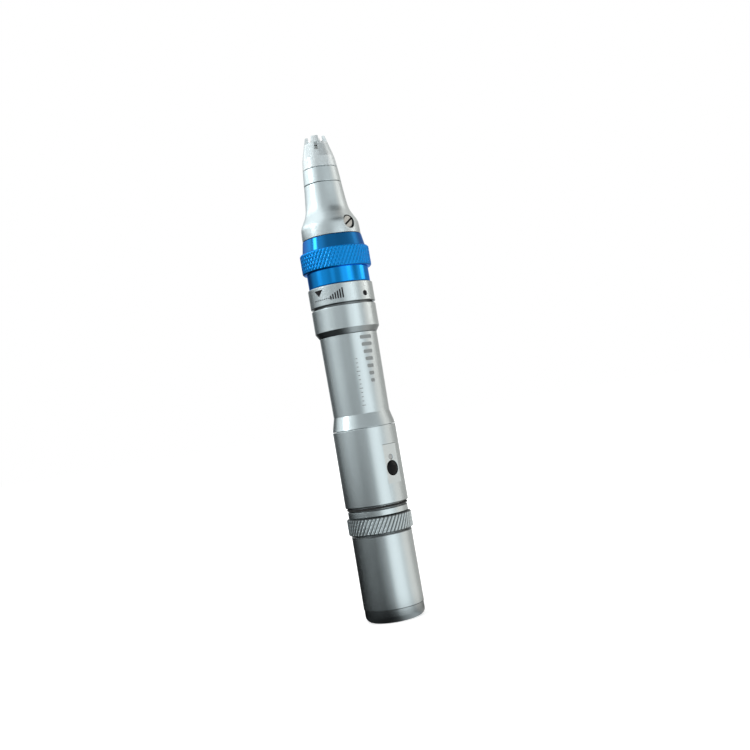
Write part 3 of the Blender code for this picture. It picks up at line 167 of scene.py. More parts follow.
class PenSizes(bpy.types.PropertyGroup):
    """Sizes that a user would change."""

    knurl_pitch: bpy.props.FloatProperty(
        name="Knurl pitch", description="Distance between two ridges of the depth ring", default=1.43 * MM,
        min=0.8 * MM, unit="LENGTH",
    )
    knurl_lean: bpy.props.FloatProperty(
        name="Knurl lean", description="Angle of the knurl ridges from the pen's axis", default=math.radians(30),
        unit="ROTATION",
    )
    knurl_depth: bpy.props.FloatProperty(
        name="Knurl depth", description="Depth of the depth ring's grooves", default=0.2 * MM, min=0.1 * MM,
        unit="LENGTH",
    )
    collar_pitch: bpy.props.FloatProperty(
        name="Collar pitch", description="Distance between two ridges of the battery collar", default=1.4 * MM,
        min=0.8 * MM, unit="LENGTH",
    )
    columns: bpy.props.IntProperty(
        name="Columns", description="Steps round each turned piece", default=128, min=32, subtype="UNSIGNED",
    )


def colour_field(name, description, default):
    """A colour that a user would change."""
    return bpy.props.FloatVectorProperty(
        name=name, description=description, subtype="COLOR", default=default, min=0, max=1
    )


class PenColours(bpy.types.PropertyGroup):
    """Colours that a user would change."""

    silver: colour_field("Silver", "Bead-blasted anodised aluminium", (0.70, 0.765, 0.785))
    blue: colour_field("Blue", "Anodised depth ring", (0.0005, 0.32, 0.88))
    button: colour_field("Button", "Power button", (0.007, 0.007, 0.008))
    mark: colour_field("Mark", "Index marks", (0.018, 0.018, 0.020))
    bars: colour_field("Bars", "Bars on the barrel", (0.32, 0.35, 0.35))


class Socket:
    """A shader value. Its operators add the Math nodes that work the expression out."""

    def __init__(self, nodes, output):
        self.nodes = nodes
        self.output = output

    def maths(self, operation, *others, swap=False):
        """One Math node of this value and the others, in this order or swapped."""
        terms = [self, *others]
        if swap:
            terms.reverse()
        return self.nodes.node("ShaderNodeMath", {"operation": operation}, dict(enumerate(terms)))

    def __add__(self, other):
        return self.maths("ADD", other)

    def __sub__(self, other):
        return self.maths("SUBTRACT", other)

    def __rsub__(self, other):
        return self.maths("SUBTRACT", other, swap=True)

    def __mul__(self, other):
        return self.maths("MULTIPLY", other)

    def __pow__(self, other):
        return self.maths("POWER", other)

    __radd__ = __add__
    __rmul__ = __mul__

    def rise(self, low, high):
        """Smooth step from 0 at low to 1 at high."""
        values = {"Value": self, "From Min": low, "From Max": high}
        return self.nodes.node("ShaderNodeMapRange", {"interpolation_type": "SMOOTHSTEP"}, values, "Result")

    def window(self, low, high, soft):
        """1 between low and high, falling to 0 over a soft edge."""
        return self.rise(low - soft, low + soft) - self.rise(high - soft, high + soft)


class Shading:
    """One material's or world's nodes."""

    def __init__(self, owner):
        owner.use_nodes = True
        self.tree = owner.node_tree
        self.tree.nodes.clear()

    def node(self, kind, settings, values, output=0):
        """Makes a node: its settings first, then a value or a link on each of its sockets."""
        made = self.tree.nodes.new(kind)
        for name, value in settings.items():
            setattr(made, name, value)
        for name, value in values.items():
            if isinstance(value, Socket):
                self.tree.links.new(value.output, made.inputs[name])
            else:
                made.inputs[name].default_value = value
        return Socket(self, made.outputs[output]) if len(made.outputs) else made

    def place(self, scale=(1, 1, 1)):
        """Object coordinates, stretched by a scale."""
        spot = self.node("ShaderNodeTexCoord", {}, {}, "Object")
        return self.node("ShaderNodeMapping", {}, {"Vector": spot, "Scale": scale})

    def split(self, vector):
        """The three parts of a vector."""
        made = self.node("ShaderNodeSeparateXYZ", {}, {"Vector": vector}).output.node
        return [Socket(self, output) for output in made.outputs]

    def noise(self, vector, scale, detail=3.0):
        """Random values that drift, with so many waves to the metre."""
        values = {"Vector": vector, "Scale": scale, "Detail": detail, "Roughness": 0.5}
        return self.node("ShaderNodeTexNoise", {}, values, "Fac")

    def blend(self, factor, first, second, mode="MIX"):
        """Mixes two colours."""
        values = {0: factor, 6: first, 7: second}
        return self.node("ShaderNodeMix", {"data_type": "RGBA", "blend_type": mode}, values, 2)

    def bump(self, height, distance):
        """A normal tilted by a height pattern that is so many millimetres deep."""
        values = {"Height": height, "Distance": distance * MM, "Strength": 1.0}
        return self.node("ShaderNodeBump", {}, values, "Normal")

    def rays(self):
        """1 for a ray that shows the background, straight or through the clear tip, and 1 for a
        reflected ray."""
        path = self.node("ShaderNodeLightPath", {}, {}).output.node
        names = ("Is Camera Ray", "Is Transmission Ray", "Is Glossy Ray")
        camera, through, glossy = (Socket(self, path.outputs[name]) for name in names)
        return camera.maths("MAXIMUM", through), glossy

    def finish(self, values):
        """Ends in a Principled surface."""
        surface = self.node("ShaderNodeBsdfPrincipled", {}, values)
        self.node("ShaderNodeOutputMaterial", {}, {"Surface": surface})


def rgba(colour, factor=1.0):
    """A colour times a factor, with full alpha."""
    return (*[min(1.0, c * factor) for c in colour], 1.0)


def new_material(name):
    """A material and its empty node tree."""
    material = bpy.data.materials.new(name)
    return material, Shading(material)


def blasted_metal(name, colour, roughness, coat=0.0, painted_shade_bands=(), pit=None, step=None, knurl=None, grain=0.012,
                  glance=(1.0, 1.0, 1.0)):
    """Bead-blasted anodised aluminium: a fine random dimple, slow changes of tone and gloss, and
    painted shade in bands where asked, as (low, high, share of the colour left): a darker base colour
    where seams, grooves and sloped faces would show shade or mirror dark surroundings. A pit, as (height,
    inner radius, outer radius), is a shadowed ring round a screw on the -Y side, and a step, as (height,
    half width), the fine shadow under the edge of a milled panel there. A knurl, as (low, high, radius of
    the groove's floor, crest, share of the colour left), gets painted shade towards the floor of its
    grooves. glance tints the reflections at a grazing angle."""
    material, nodes = new_material(name)
    spot = nodes.place()
    fine = nodes.noise(spot, 5200, 2.0)
    slow = nodes.noise(spot, 90)
    tone = 0.93 + slow * 0.10 + fine * 0.04
    matt = 0.0
    soft, crisp = 0.12 * MM, 0.05 * MM
    across, ahead, height = nodes.split(spot)
    # Painted shade: each band darkens the base colour to a share of it
    for low, high, share in painted_shade_bands:
        tone = tone * (1.0 - height.window(low * MM, high * MM, soft) * (1.0 - share))
    if pit:
        middle, inner, outer = (value * MM for value in pit)
        away = (across**2 + (height - middle) ** 2) ** 0.5
        shade = away.window(inner, outer, soft) * (1.0 - ahead.rise(-2 * MM, 2 * MM))
        tone = tone * (1.0 - shade * 0.45)
    if step:
        middle, half = (value * MM for value in step)
        line = height.window(middle - 0.10 * MM, middle + 0.10 * MM, crisp) * across.window(-half, half, crisp)
        tone = tone * (1.0 - line * (1.0 - ahead.rise(-2 * MM, 2 * MM)) * 0.6)
    # Painted shade: darker towards the floor of the knurl's grooves, and that band is also rougher
    if knurl:
        low, high, floor, crest = (value * MM for value in knurl[:4])
        inside = 1.0 - ((across**2 + ahead**2) ** 0.5).rise(floor, crest)
        band = height.window(low, high, crisp)
        tone = tone * (1.0 - band * inside * (1.0 - knurl[4]))
        matt = band * 0.26
    grey = nodes.node("ShaderNodeCombineColor", {}, {0: tone, 1: tone, 2: tone})
    nodes.finish({
        "Base Color": nodes.blend(1.0, rgba(colour), grey, "MULTIPLY"),
        "Metallic": 1.0,
        "Roughness": roughness - 0.04 + slow * 0.06 + fine * 0.03 + matt,
        "Normal": nodes.bump(fine, grain),
        "Specular Tint": rgba(glance),
        "Coat Weight": coat,
        "Coat Roughness": 0.12,
    })
    return material


def turned_metal(name, colour, roughness, lines=9000, slot=None):
    """Machined metal with fine tool lines round the axis. A slot, as (height, lean, half width, rim
    radius), is the shadow in a screw's slot and round its rim on the -Y side."""
    material, nodes = new_material(name)
    spot = nodes.place()
    tool = nodes.noise(nodes.place((0.02, 0.02, 1.0)), lines, 2.0)
    slow = nodes.noise(spot, 160)
    base = nodes.blend(slow, rgba(colour, 0.82), rgba(colour, 1.12))
    if slot:
        middle, lean, half, rim = slot
        across, _, height = nodes.split(spot)
        height = height - middle * MM
        gap = (height * math.cos(lean) - across * math.sin(lean)).maths("ABSOLUTE")
        away = (across**2 + height**2) ** 0.5
        sunk = 1.0 - gap.rise((half - 0.06) * MM, (half + 0.06) * MM)
        shade = sunk.maths("MAXIMUM", away.rise((rim - 0.12) * MM, (rim + 0.12) * MM))
        base = nodes.blend(shade, base, (0.015, 0.015, 0.015, 1.0))
    nodes.finish({
        "Base Color": base,
        "Metallic": 1.0,
        "Roughness": roughness - 0.05 + tool * 0.10,
        "Normal": nodes.bump(tool, 0.006),
    })
    return material


def moulded_plastic(name, colour, roughness, coat=0.0, grain=0.01, scale=2600, gloss=0.5):
    """Moulded plastic with a slight orange peel, and tone that drifts a little."""
    material, nodes = new_material(name)
    spot = nodes.place()
    peel = nodes.noise(spot, scale, 2.0)
    slow = nodes.noise(spot, 140)
    base = nodes.blend(slow, rgba(colour, 0.88), rgba(colour, 1.12))
    nodes.finish({
        "Base Color": base,
        "Roughness": roughness - 0.03 + peel * 0.06,
        "Specular IOR Level": gloss,
        "Normal": nodes.bump(peel, grain),
        "Coat Weight": coat,
        "Coat Roughness": 0.08,
    })
    return material


def needle_finish(name):
    """Polished needles standing in a white plastic plate."""
    material, nodes = new_material(name)
    spot = nodes.place()
    _, _, height = nodes.split(spot)
    slow = nodes.noise(spot, 900, 2.0)
    steel = height.rise((PLATE_TOP - 0.02) * MM, (PLATE_TOP + 0.04) * MM)
    nodes.finish({
        "Base Color": nodes.blend(steel, (0.82, 0.84, 0.84, 1.0), (0.62, 0.62, 0.61, 1.0)),
        "Metallic": steel,
        "Roughness": 0.36 - steel * 0.12 + slow * 0.04,
        "Normal": nodes.bump(slow, 0.006),
    })
    return material


def clear_plastic(name):
    """Milky clear plastic of the tip: lets some light through, with faint flow marks from the mould."""
    material, nodes = new_material(name)
    flow = nodes.noise(nodes.place((1.0, 1.0, 0.3)), 260, 2.0)
    base = nodes.blend(flow, (0.86, 0.95, 0.98, 1.0), (0.93, 0.99, 1.0, 1.0))
    nodes.finish({
        "Base Color": base,
        "Metallic": 0.48 + flow * 0.04,
        "Roughness": 0.20 + flow * 0.04,
        "Alpha": 0.68 + flow * 0.04,
        "IOR": 1.49,
        "Coat Weight": 0.8,
        "Coat Roughness": 0.08,
        "Normal": nodes.bump(flow, 0.01),
    })
    return material


def circuit_finish(name):
    """Solder resist with paler copper tracks under it."""
    material, nodes = new_material(name)
    spot = nodes.place()
    across, _, along = nodes.split(spot)
    track = (across * 2600).maths("SINE") * (along * 1900).maths("SINE")
    mask = track.rise(0.25, 0.40)
    base = nodes.blend(mask, (0.012, 0.10, 0.045, 1.0), (0.03, 0.21, 0.09, 1.0))
    nodes.finish({"Base Color": base, "Roughness": 0.42 - mask * 0.1, "Normal": nodes.bump(mask, 0.02)})
    return material


class Form:
    """Collects grids of points and the faces between them, then becomes a piece."""

    def __init__(self):
        self.points = []
        self.faces = []
        self.count = 0
        self.creases = []

    def add(self, places):
        """Adds an array of places (..., 3) and returns their numbers in the same layout."""
        places = np.asarray(places, float)
        numbers = self.count + np.arange(places[..., 0].size).reshape(places.shape[:-1])
        self.points.append(places.reshape(-1, 3))
        self.count += numbers.size
        return numbers

    def sheet(self, grid, wrap_rows=False, wrap_columns=True, keep=None):
        """Faces between neighbours of a grid of point numbers. keep is a mask of the cells."""
        rows = np.vstack([grid, grid[:1]]) if wrap_rows else grid
        rows = np.hstack([rows, rows[:, :1]]) if wrap_columns else rows
        cells = np.stack([rows[:-1, :-1], rows[1:, :-1], rows[1:, 1:], rows[:-1, 1:]], axis=-1)
        cells = cells.reshape(-1, 4) if keep is None else cells[keep]
        self.faces.append(cells)

    def sheet_around(self, grid, holes):
        """Faces between neighbours of a grid, except in holes, each given as its slices of rows and columns.
        Returns the closed loop of point numbers round each hole."""
        keep = np.ones((len(grid) - 1, grid.shape[1]), bool)
        for rows, columns in holes:
            keep[rows.start:rows.stop - 1, columns.start:columns.stop - 1] = False
        self.sheet(grid, keep=keep)
        return [border(grid[rows, columns]) for rows, columns in holes]

    def lay(self, pairs, out, height):
        """Adds (across, up) about a height on the -Y side, so far out from the pen's axis."""
        return self.add(front_places(pairs[:, 0], out, height + pairs[:, 1]))

    def rings(self, rings):
        """Faces between closed loops of the same length, one after the other."""
        self.sheet(np.stack(rings))

    def fan(self, ring, tip):
        """Triangles from a closed loop to one point."""
        self.faces.append(np.stack([ring, np.roll(ring, -1), np.full(ring.shape, tip)], axis=-1))

    def crease(self, line):
        """Keeps the edges along a line of point numbers sharp."""
        self.creases.append(np.stack([line[:-1], line[1:]], axis=-1))

    def piece(self, name, body, finish, sharp=30.0):
        """Turns the collected grid into an object that rides on a body. A piece with the name of a CAD
        node stands for that node."""
        mesh = bpy.data.meshes.new(name)
        places = np.concatenate(self.points) * MM
        corners = np.concatenate([f.reshape(-1) for f in self.faces])
        sizes = np.concatenate([np.full(len(f), f.shape[1]) for f in self.faces])
        mesh.vertices.add(len(places))
        mesh.vertices.foreach_set("co", places.astype(np.float32).reshape(-1))
        mesh.loops.add(len(corners))
        mesh.loops.foreach_set("vertex_index", corners.astype(np.int32))
        mesh.polygons.add(len(sizes))
        mesh.polygons.foreach_set("loop_start", (np.cumsum(sizes) - sizes).astype(np.int32))
        mesh.update(calc_edges=True)
        mesh.validate()
        outward(mesh)
        mesh.shade_smooth()
        mesh.set_sharp_from_angle(angle=math.radians(sharp))
        if self.creases:
            mark_creases(mesh, np.concatenate(self.creases))
        mesh.materials.append(finish_named(finish))
        made = bpy.data.objects.new(name, mesh)
        bpy.context.scene.collection.objects.link(made)
        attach(made, body)
        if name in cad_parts:
            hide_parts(name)
        return made


def outward(mesh):
    """Turns every closed shell's faces outwards."""
    form = bmesh.new()
    form.from_mesh(mesh)
    bmesh.ops.recalc_face_normals(form, faces=form.faces)
    form.to_mesh(mesh)
    form.free()


def mark_creases(mesh, pairs):
    """Marks the edges between the given pairs of points as sharp."""
    edges = np.zeros(len(mesh.edges) * 2, np.int32)
    mesh.edges.foreach_get("vertices", edges)
    edges = np.sort(edges.reshape(-1, 2), axis=1)
    size = len(mesh.vertices)
    wanted = np.sort(pairs, axis=1)
    marked = np.isin(edges[:, 0] * size + edges[:, 1], wanted[:, 0] * size + wanted[:, 1])
    attribute = mesh.attributes.get("sharp_edge") or mesh.attributes.new("sharp_edge", "BOOLEAN", "EDGE")
    sharp = np.zeros(len(edges), bool)
    attribute.data.foreach_get("value", sharp)
    attribute.data.foreach_set("value", sharp | marked)


def softened(outline, closed=True):
    """Rounds the corners of an outline given as (radius, height, fillet).

    A corner with fillet f between sides that meet at angle g is replaced by the arc that touches both
    sides at f / tan(g / 2) from the corner. A side that is long beside its fillets gets one more point
    just past each arc, so that the shading of the flat stays flat."""
    corners = np.array(outline, float)
    spots, fillets = corners[:, :2], corners[:, 2]
    count = len(spots)
    line = []
    for i in range(count):
        before, here, after = spots[i - 1], spots[i], spots[(i + 1) % count]
        end = not closed and i in (0, count - 1)
        if fillets[i] <= 0 or end:
            line.append(here[None])
            continue
        back, ahead = before - here, after - here
        back_length, ahead_length = np.linalg.norm(back), np.linalg.norm(ahead)
        back, ahead = back / back_length, ahead / ahead_length
        corner = math.acos(max(-1.0, min(1.0, float(back @ ahead))))
        reach = min(fillets[i] / math.tan(corner / 2), 0.45 * back_length, 0.45 * ahead_length)
        radius = reach * math.tan(corner / 2)
        middle = here + (back + ahead) / np.linalg.norm(back + ahead) * radius / math.sin(corner / 2)
        sweep = math.pi - corner
        steps = max(2, int(math.ceil(math.degrees(sweep) / 16)))
        share = np.linspace(0, 1, steps + 1)[:, None]
        first, last = here + back * reach - middle, here + ahead * reach - middle
        arc = middle + (np.sin((1 - share) * sweep) * first + np.sin(share * sweep) * last) / math.sin(sweep)
        flank = min(0.6 * radius, 0.04 * back_length), min(0.6 * radius, 0.04 * ahead_length)
        line.append((here + back * (reach + flank[0]))[None])
        line.append(arc)
        line.append((here + ahead * (reach + flank[1]))[None])
    return np.concatenate(line)


def angles(columns):
    """Even steps round a circle."""
    return np.arange(columns) * (math.tau / columns)


def round_places(radius, height, theta):
    """Places (radius cos, radius sin, height) for arrays of radius and height over rows and angle."""
    radius, height = np.broadcast_arrays(radius, height)
    shape = np.broadcast_shapes(radius.shape, theta.shape)
    radius, height = np.broadcast_to(radius, shape), np.broadcast_to(height, shape)
    return np.stack([radius * np.cos(theta), radius * np.sin(theta), height], axis=-1)


def front_places(across, out, up):
    """Places (across, -out, up) on the -Y side, for arrays that are stretched to one shape."""
    return np.stack(np.broadcast_arrays(across, -np.asarray(out), up), axis=-1)


def border(patch):
    """The edge of a grid as one closed loop."""
    return np.concatenate([patch[0, :-1], patch[:-1, -1], patch[-1, :0:-1], patch[:0:-1, 0]])


def about(places, height):
    """Places as (across, up) from a height on the -Y side, and the unit directions to them."""
    pairs = places[:, [0, 2]] - (0.0, height)
    turn = np.arctan2(pairs[:, 1], pairs[:, 0])
    return pairs, np.stack([np.cos(turn), np.sin(turn)], axis=1)


def turn_about(form, line, places):
    """Turns a line of (radius, distance along the axis) by a function that gives the places at a radius
    and a distance for every angle. Where the line starts or ends on the axis it closes there."""
    poles = [index for index in (0, -1) if line[index][0] < 1e-9]
    body = line[(1 if 0 in poles else 0):(-1 if -1 in poles else None)]
    grid = form.add(places(body[:, :1], body[:, 1:]))
    form.sheet(grid, wrap_rows=not poles)
    for index in poles:
        form.fan(grid[index], form.add(places(*line[index])[:1])[0])


def spun(form, line, count, middle=(0, 0, 0)):
    """Turns a line of (radius, height) about Z or an upright axis beside it."""
    theta = angles(count)
    turn_about(form, line, lambda radius, height: round_places(radius, height, theta) + middle)


def facing_front(form, line, height, count):
    """Turns a line of (radius, distance from the pen's axis) about an axis that leaves at -Y."""
    theta = angles(count)
    turn_about(form, line, lambda radius, out: front_places(
        radius * np.cos(theta), out, height + radius * np.sin(theta)))


def turned(name, body, finish, outline, columns=None, sharp=30.0):
    """A piece turned about the pen's axis from a rounded outline."""
    form = Form()
    on_axis = outline[0][0] < 1e-9
    spun(form, softened(outline, closed=not on_axis), columns or read_sizes().columns)
    return form.piece(name, body, finish, sharp)


def band_rows(low, high, step):
    """Heights from low to high, at most a step apart."""
    return np.linspace(low, high, max(2, int(math.ceil((high - low) / step)) + 1))


def knurl(theta, height, teeth, lean, pitch, width, cross):
    """Depth share of a knurl, 0 on a crest and 1 in a groove.

    Two sets of V grooves cross, climbing at the lean angle to either side, and each takes up a share of
    the pitch, its width. The set that climbs to the left is cut to a share of the other's depth, so the
    ridges between read as slanted strokes."""
    turn = theta * teeth / math.tau
    climb = height * math.tan(lean) / pitch
    right = np.abs(((turn - climb) % 1.0) - 0.5) * 2
    left = np.abs(((turn + climb) % 1.0) - 0.5) * 2
    return np.maximum(np.clip((right - 1) / width + 1, 0, 1), cross * np.clip((left - 1) / width + 1, 0, 1))


def knurled(name, body, finish, band, below, above, pitch, depth, width, cross):
    """A ring with a knurled band, given as (crest, lowest height, highest height).

    The band's radius is the lower of the chamfered ring's and the crest less the groove's depth, as when
    a wheel is pressed into a chamfered ring. above is the outline from the knurl's top edge over the ring
    to its bore, and below is the rest, back up to the knurl."""
    crest, low, high = band
    teeth = int(round(math.tau * crest / pitch))
    theta = angles(teeth * 10)
    rows = band_rows(low, high, 0.16)[::-1]
    chamfer_deep, chamfer_tall = 0.2, 0.4
    edge = crest - depth - chamfer_deep
    ring = np.minimum(crest, edge + (crest - edge) / chamfer_tall * np.minimum(rows - low, high - rows))[:, None]
    groove = knurl(theta[None], rows[:, None], teeth, read_sizes().knurl_lean, pitch, width, cross)
    radius = np.minimum(ring, crest - depth * groove)
    rest = softened([(edge, high, 0), *above, *below, (edge, low, 0)], closed=False)[1:-1]
    form = Form()
    grid = form.add(np.concatenate([
        round_places(rest[:, :1], rest[:, 1:], theta),
        round_places(radius, rows[:, None], theta)[::-1],
    ]))
    form.sheet(grid, wrap_rows=True)
    return form.piece(name, body, finish, sharp=50.0)


def edges_of(centres, half):
    """The angles at both edges of each slot."""
    return [centre + side * half for centre in centres for side in (-1, 1)]


def step_columns(columns, edges, gap):
    """Angles round the axis, with a pair of columns astride each given edge angle."""
    extra = np.concatenate([[edge - gap / 2, edge + gap / 2] for edge in edges]) % math.tau
    plain = angles(columns)
    away = np.abs((plain[:, None] - extra[None] + math.pi) % math.tau - math.pi).min(axis=1)
    return np.sort(np.concatenate([plain[away > 0.4 * math.tau / columns], extra]))


def near(theta, centres, half):
    """Mask of the angles within half of any of the centres."""
    gap = np.abs((theta[:, None] - np.asarray(centres)[None] + math.pi) % math.tau - math.pi)
    return (gap < half).any(axis=1)


def nose_line(count):
    """The nose's flank from its foot to its tip: a smooth curve through the outline's shares.

    Between two points the radius is a cubic whose slopes are the mean slopes of the neighbours."""
    shares = np.array(NOSE_SHARES)
    slope = np.gradient(shares[:, 1], shares[:, 0])
    slope[0] = 0.0
    x = np.linspace(0, 1, count)
    k = np.clip(np.searchsorted(shares[:, 0], x, side="right") - 1, 0, len(shares) - 2)
    h = shares[k + 1, 0] - shares[k, 0]
    u = (x - shares[k, 0]) / h
    y = ((1 + 2 * u) * (1 - u) ** 2 * shares[k, 1] + u * (1 - u) ** 2 * h * slope[k]
         + u * u * (3 - 2 * u) * shares[k + 1, 1] + u * u * (u - 1) * h * slope[k + 1])
    return np.stack([NOSE_TIP + (NOSE_FOOT - NOSE_TIP) * y, NOSE_BASE + (NOSE_TOP - NOSE_BASE) * x], axis=1)


def barrel_radius(height):
    """The barrel widens a little from its flare to its top."""
    share = (height - FLARE_TOP) / (BARREL_TOP - FLARE_TOP)
    return BARREL + BARREL_GAIN * max(0.0, share)


def evenly(corners, step=0.16):
    """A closed loop of points at even spacing along straight lines between corners."""
    closed = np.vstack([corners, corners[:1]])
    run = np.concatenate([[0], np.cumsum(np.hypot(*np.diff(closed, axis=0).T))])
    spots = np.linspace(0, run[-1], max(12, int(run[-1] / step)), endpoint=False)
    return np.stack([np.interp(spots, run, closed[:, 0]), np.interp(spots, run, closed[:, 1])], axis=1)


def decal(form, radius, side, height, rim):
    """A thin inlay on a cylinder. rim is a closed loop of (across, up) about its middle, and across is
    carried as arc length. Rings shrink from the rim to the middle, close enough together to follow the
    curve, on a face half the ink's thickness proud and on a back one thickness deep."""
    count = max(2, int(math.ceil(np.abs(rim[:, 0]).max() / 0.3)))
    shares = np.arange(1, count + 1) / count

    def lay(pairs, lift):
        """A loop of (across, up) wrapped round the cylinder, lifted by a share of the ink."""
        turn, out = side + pairs[:, 0] / radius, radius + lift * INK
        return form.add(front_places(out * np.sin(turn), out * np.cos(turn), height + pairs[:, 1]))
    face = [lay(share * rim, 0.5) for share in shares]
    back = [lay(share * rim, -1.0) for share in shares[::-1]]
    form.rings(face + back)
    for ring, lift in ((face[0], 0.5), (back[-1], -1.0)):
        form.fan(ring, lay(np.zeros((1, 2)), lift)[0])


def bar_rim(width, tall):
    """A rectangle with its corners rounded."""
    w, t, r = width / 2, tall / 2, 0.3 * min(width, tall)
    return evenly(softened([(-w, t, r), (w, t, r), (w, -t, r), (-w, -t, r)]), min(0.16, 0.4 * tall))


def dot_rim(width, count=24):
    """A circle."""
    turn = angles(count)
    return np.stack([width / 2 * np.cos(turn), width / 2 * np.sin(turn)], axis=1)


def triangle_rim(width, tall):
    """A triangle that points down."""
    return evenly(np.array([(-width / 2, tall / 2), (width / 2, tall / 2), (0, -tall / 2)]))


def colours():
    """The user's colours."""
    return bpy.context.scene.pen_colours


def read_sizes():
    """The user's sizes."""
    return bpy.context.scene.pen_sizes


# Finishes by name. The silver and blue metals carry painted shade: darker bands at seams, chamfers, slopes and the cap,
# a shadow ring round the screw, a shadow under the panel's edge and darker knurl grooves
FINISHES = {
    "silver_collar": lambda name: blasted_metal(
        name, colours().silver, 0.25, painted_shade_bands=((COLLAR_TOP - 0.5, COLLAR_TOP + 0.2, 0.45),),
        knurl=(COLLAR_BASE, COLLAR_TOP, COLLAR - 0.42, COLLAR - 0.04, 0.16)),
    "silver_barrel": lambda name: blasted_metal(
        name, colours().silver, 0.25, painted_shade_bands=((BARREL_BASE, FLARE_TOP - 0.5, 0.82),)),
    "silver_tail": lambda name: blasted_metal(
        name, colours().silver, 0.25, step=(PANEL_TOP, PANEL_HALF_WIDTH),
        painted_shade_bands=((BAND_TOP - 0.25, BAND_TOP + 0.3, 0.3), (HOUSING_BASE - 0.3, HOUSING_BASE + 0.3, 0.35),
               (SHELL_TOP - 0.3, COLLAR_BASE + 0.1, 0.35), (CAP_TOP, SHELL_BASE + 0.12, 0.4))),
    "silver_front": lambda name: blasted_metal(
        name, colours().silver, 0.25,
        painted_shade_bands=((FRONT_BASE - 0.2, FRONT_SHOULDER, 0.48), (FRONT_TOP - 0.15, SCALE_BASE + 0.25, 0.3),
               (SCALE_TOP - 0.22, SCALE_TOP + 0.3, 0.6))),
    "silver_cap": lambda name: blasted_metal(name, colours().silver, 0.15, painted_shade_bands=((-1.0, CAP_TOP + 0.2, 0.82),)),
    "silver_nose": lambda name: blasted_metal(
        name, colours().silver, 0.30, pit=(SCREW_HEIGHT, SCREW_HEAD - 0.1, SCREW_PIT + 0.12)),
    "blue_anodised": lambda name: blasted_metal(
        name, colours().blue, 0.12, coat=0.3, painted_shade_bands=((KNURL_TOP + 0.1, RING_TOP + 1.0, 0.42),),
        knurl=(KNURL_BASE, KNURL_TOP, RING_CREST - 0.3, RING_CREST - 0.04, 0.6), grain=0.003,
        glance=(0.10, 0.50, 1.0)),
    "screw_steel": lambda name: turned_metal(
        name, (0.50, 0.50, 0.48), 0.30, slot=(SCREW_HEIGHT, SCREW_LEAN, 0.33, SCREW_HEAD - 0.06)),
    "steel_turned": lambda name: turned_metal(name, (0.56, 0.56, 0.55), 0.26),
    "bronze_turned": lambda name: turned_metal(name, (0.50, 0.33, 0.14), 0.38),
    "brass_turned": lambda name: turned_metal(name, (0.78, 0.58, 0.24), 0.28),
    "needle_steel": needle_finish,
    "clear_plastic": clear_plastic,
    "board_resist": circuit_finish,
    "black_plastic": lambda name: moulded_plastic(name, (0.014, 0.014, 0.016), 0.40),
    "white_plastic": lambda name: moulded_plastic(name, (0.78, 0.78, 0.76), 0.42),
    "button_plastic": lambda name: moulded_plastic(name, colours().button, 0.12, grain=0.002, gloss=0.12),
    "lamp_window": lambda name: moulded_plastic(name, (0.50, 0.52, 0.51), 0.22, grain=0.002),
    "seal_rubber": lambda name: moulded_plastic(name, (0.022, 0.022, 0.022), 0.72, grain=0.03, scale=4200),
    "cell_wrap": lambda name: moulded_plastic(name, (0.04, 0.20, 0.15), 0.32, coat=0.3, grain=0.006),
    "red_sleeve": lambda name: moulded_plastic(name, (0.60, 0.02, 0.02), 0.45),
    "black_sleeve": lambda name: moulded_plastic(name, (0.02, 0.02, 0.02), 0.45),
    "mark_ink": lambda name: moulded_plastic(name, colours().mark, 0.80, grain=0.004, gloss=0.2),
    "bar_ink": lambda name: moulded_plastic(name, colours().bars, 0.45, grain=0.004),
}

made_finishes = {}


def finish_named(name):
    """The material of a finish, made when it is first asked for."""
    if name not in made_finishes:
        made_finishes[name] = FINISHES[name](name)
    return made_finishes[name]


class PEN_OT_battery(bpy.types.Operator):
    """End cap, battery tube, cell and insulator"""

    bl_idname = "pen.battery"
    bl_label = "Battery module"

    def execute(self, context):
        turned("end_cap", "battery", "silver_cap", [
            (0, CAP_FLOOR, 0), (CAP_BORE, CAP_FLOOR, 0.2), (CAP_BORE, PLUG_TOP, 0.15), (PLUG, PLUG_TOP, 0.2),
            (PLUG, CAP_TOP, 0), (CAP, CAP_TOP, 0), (CAP, 0, CAP_ROUND), (0, 0, 0),
        ])
        turned("battery_shell", "battery", "silver_tail", [
            (SHELL_BORE, NECK_TOP, 0.12), (NECK, NECK_TOP, 0.2), (NECK, SHELL_TOP, 0), (SHELL, SHELL_TOP, 0.1),
            (SHELL, SHELL_BASE, 0), (SHELL_SOCKET, SHELL_BASE, 0), (SHELL_SOCKET, SHELL_SEAT, 0),
            (SHELL_BORE, SHELL_SEAT, 0),
        ])
        turned("battery_cell", "battery", "cell_wrap", [
            (0, CONTACT_TOP, 0), (CONTACT, CONTACT_TOP, 0.3), (CONTACT, NECK_TOP, 0), (CELL, NECK_TOP, 0.4),
            (CELL, CELL_BASE, 0.4), (0, CELL_BASE, 0),
        ])
        turned("cell_insulator", "battery", "black_plastic", [
            (INSULATOR_BORE, INSULATOR_TOP, 0.1), (NECK, INSULATOR_TOP, 0.2), (NECK, INSULATOR_BASE, 0.1),
            (INSULATOR_BORE, INSULATOR_BASE, 0.1),
        ])
        return {"FINISHED"}


class PEN_OT_collar(bpy.types.Operator):
    """Knurled battery collar"""

    bl_idname = "pen.collar"
    bl_label = "Battery collar"

    def execute(self, context):
        above = [(COLLAR_BORE, COLLAR_TOP, 0.1), (COLLAR_BORE, COLLAR_LIP, 0.0)]
        below = [(COLLAR_MOUTH, COLLAR_LIP, 0.0), (COLLAR_MOUTH, COLLAR_BASE, 0.1)]
        knurled("battery_collar", "collar", "silver_collar",
                (COLLAR, COLLAR_BASE + 0.02, COLLAR_TOP - 0.02), below, above,
                pitch=read_sizes().collar_pitch / MM, depth=0.4, width=0.8, cross=0.3)
        return {"FINISHED"}


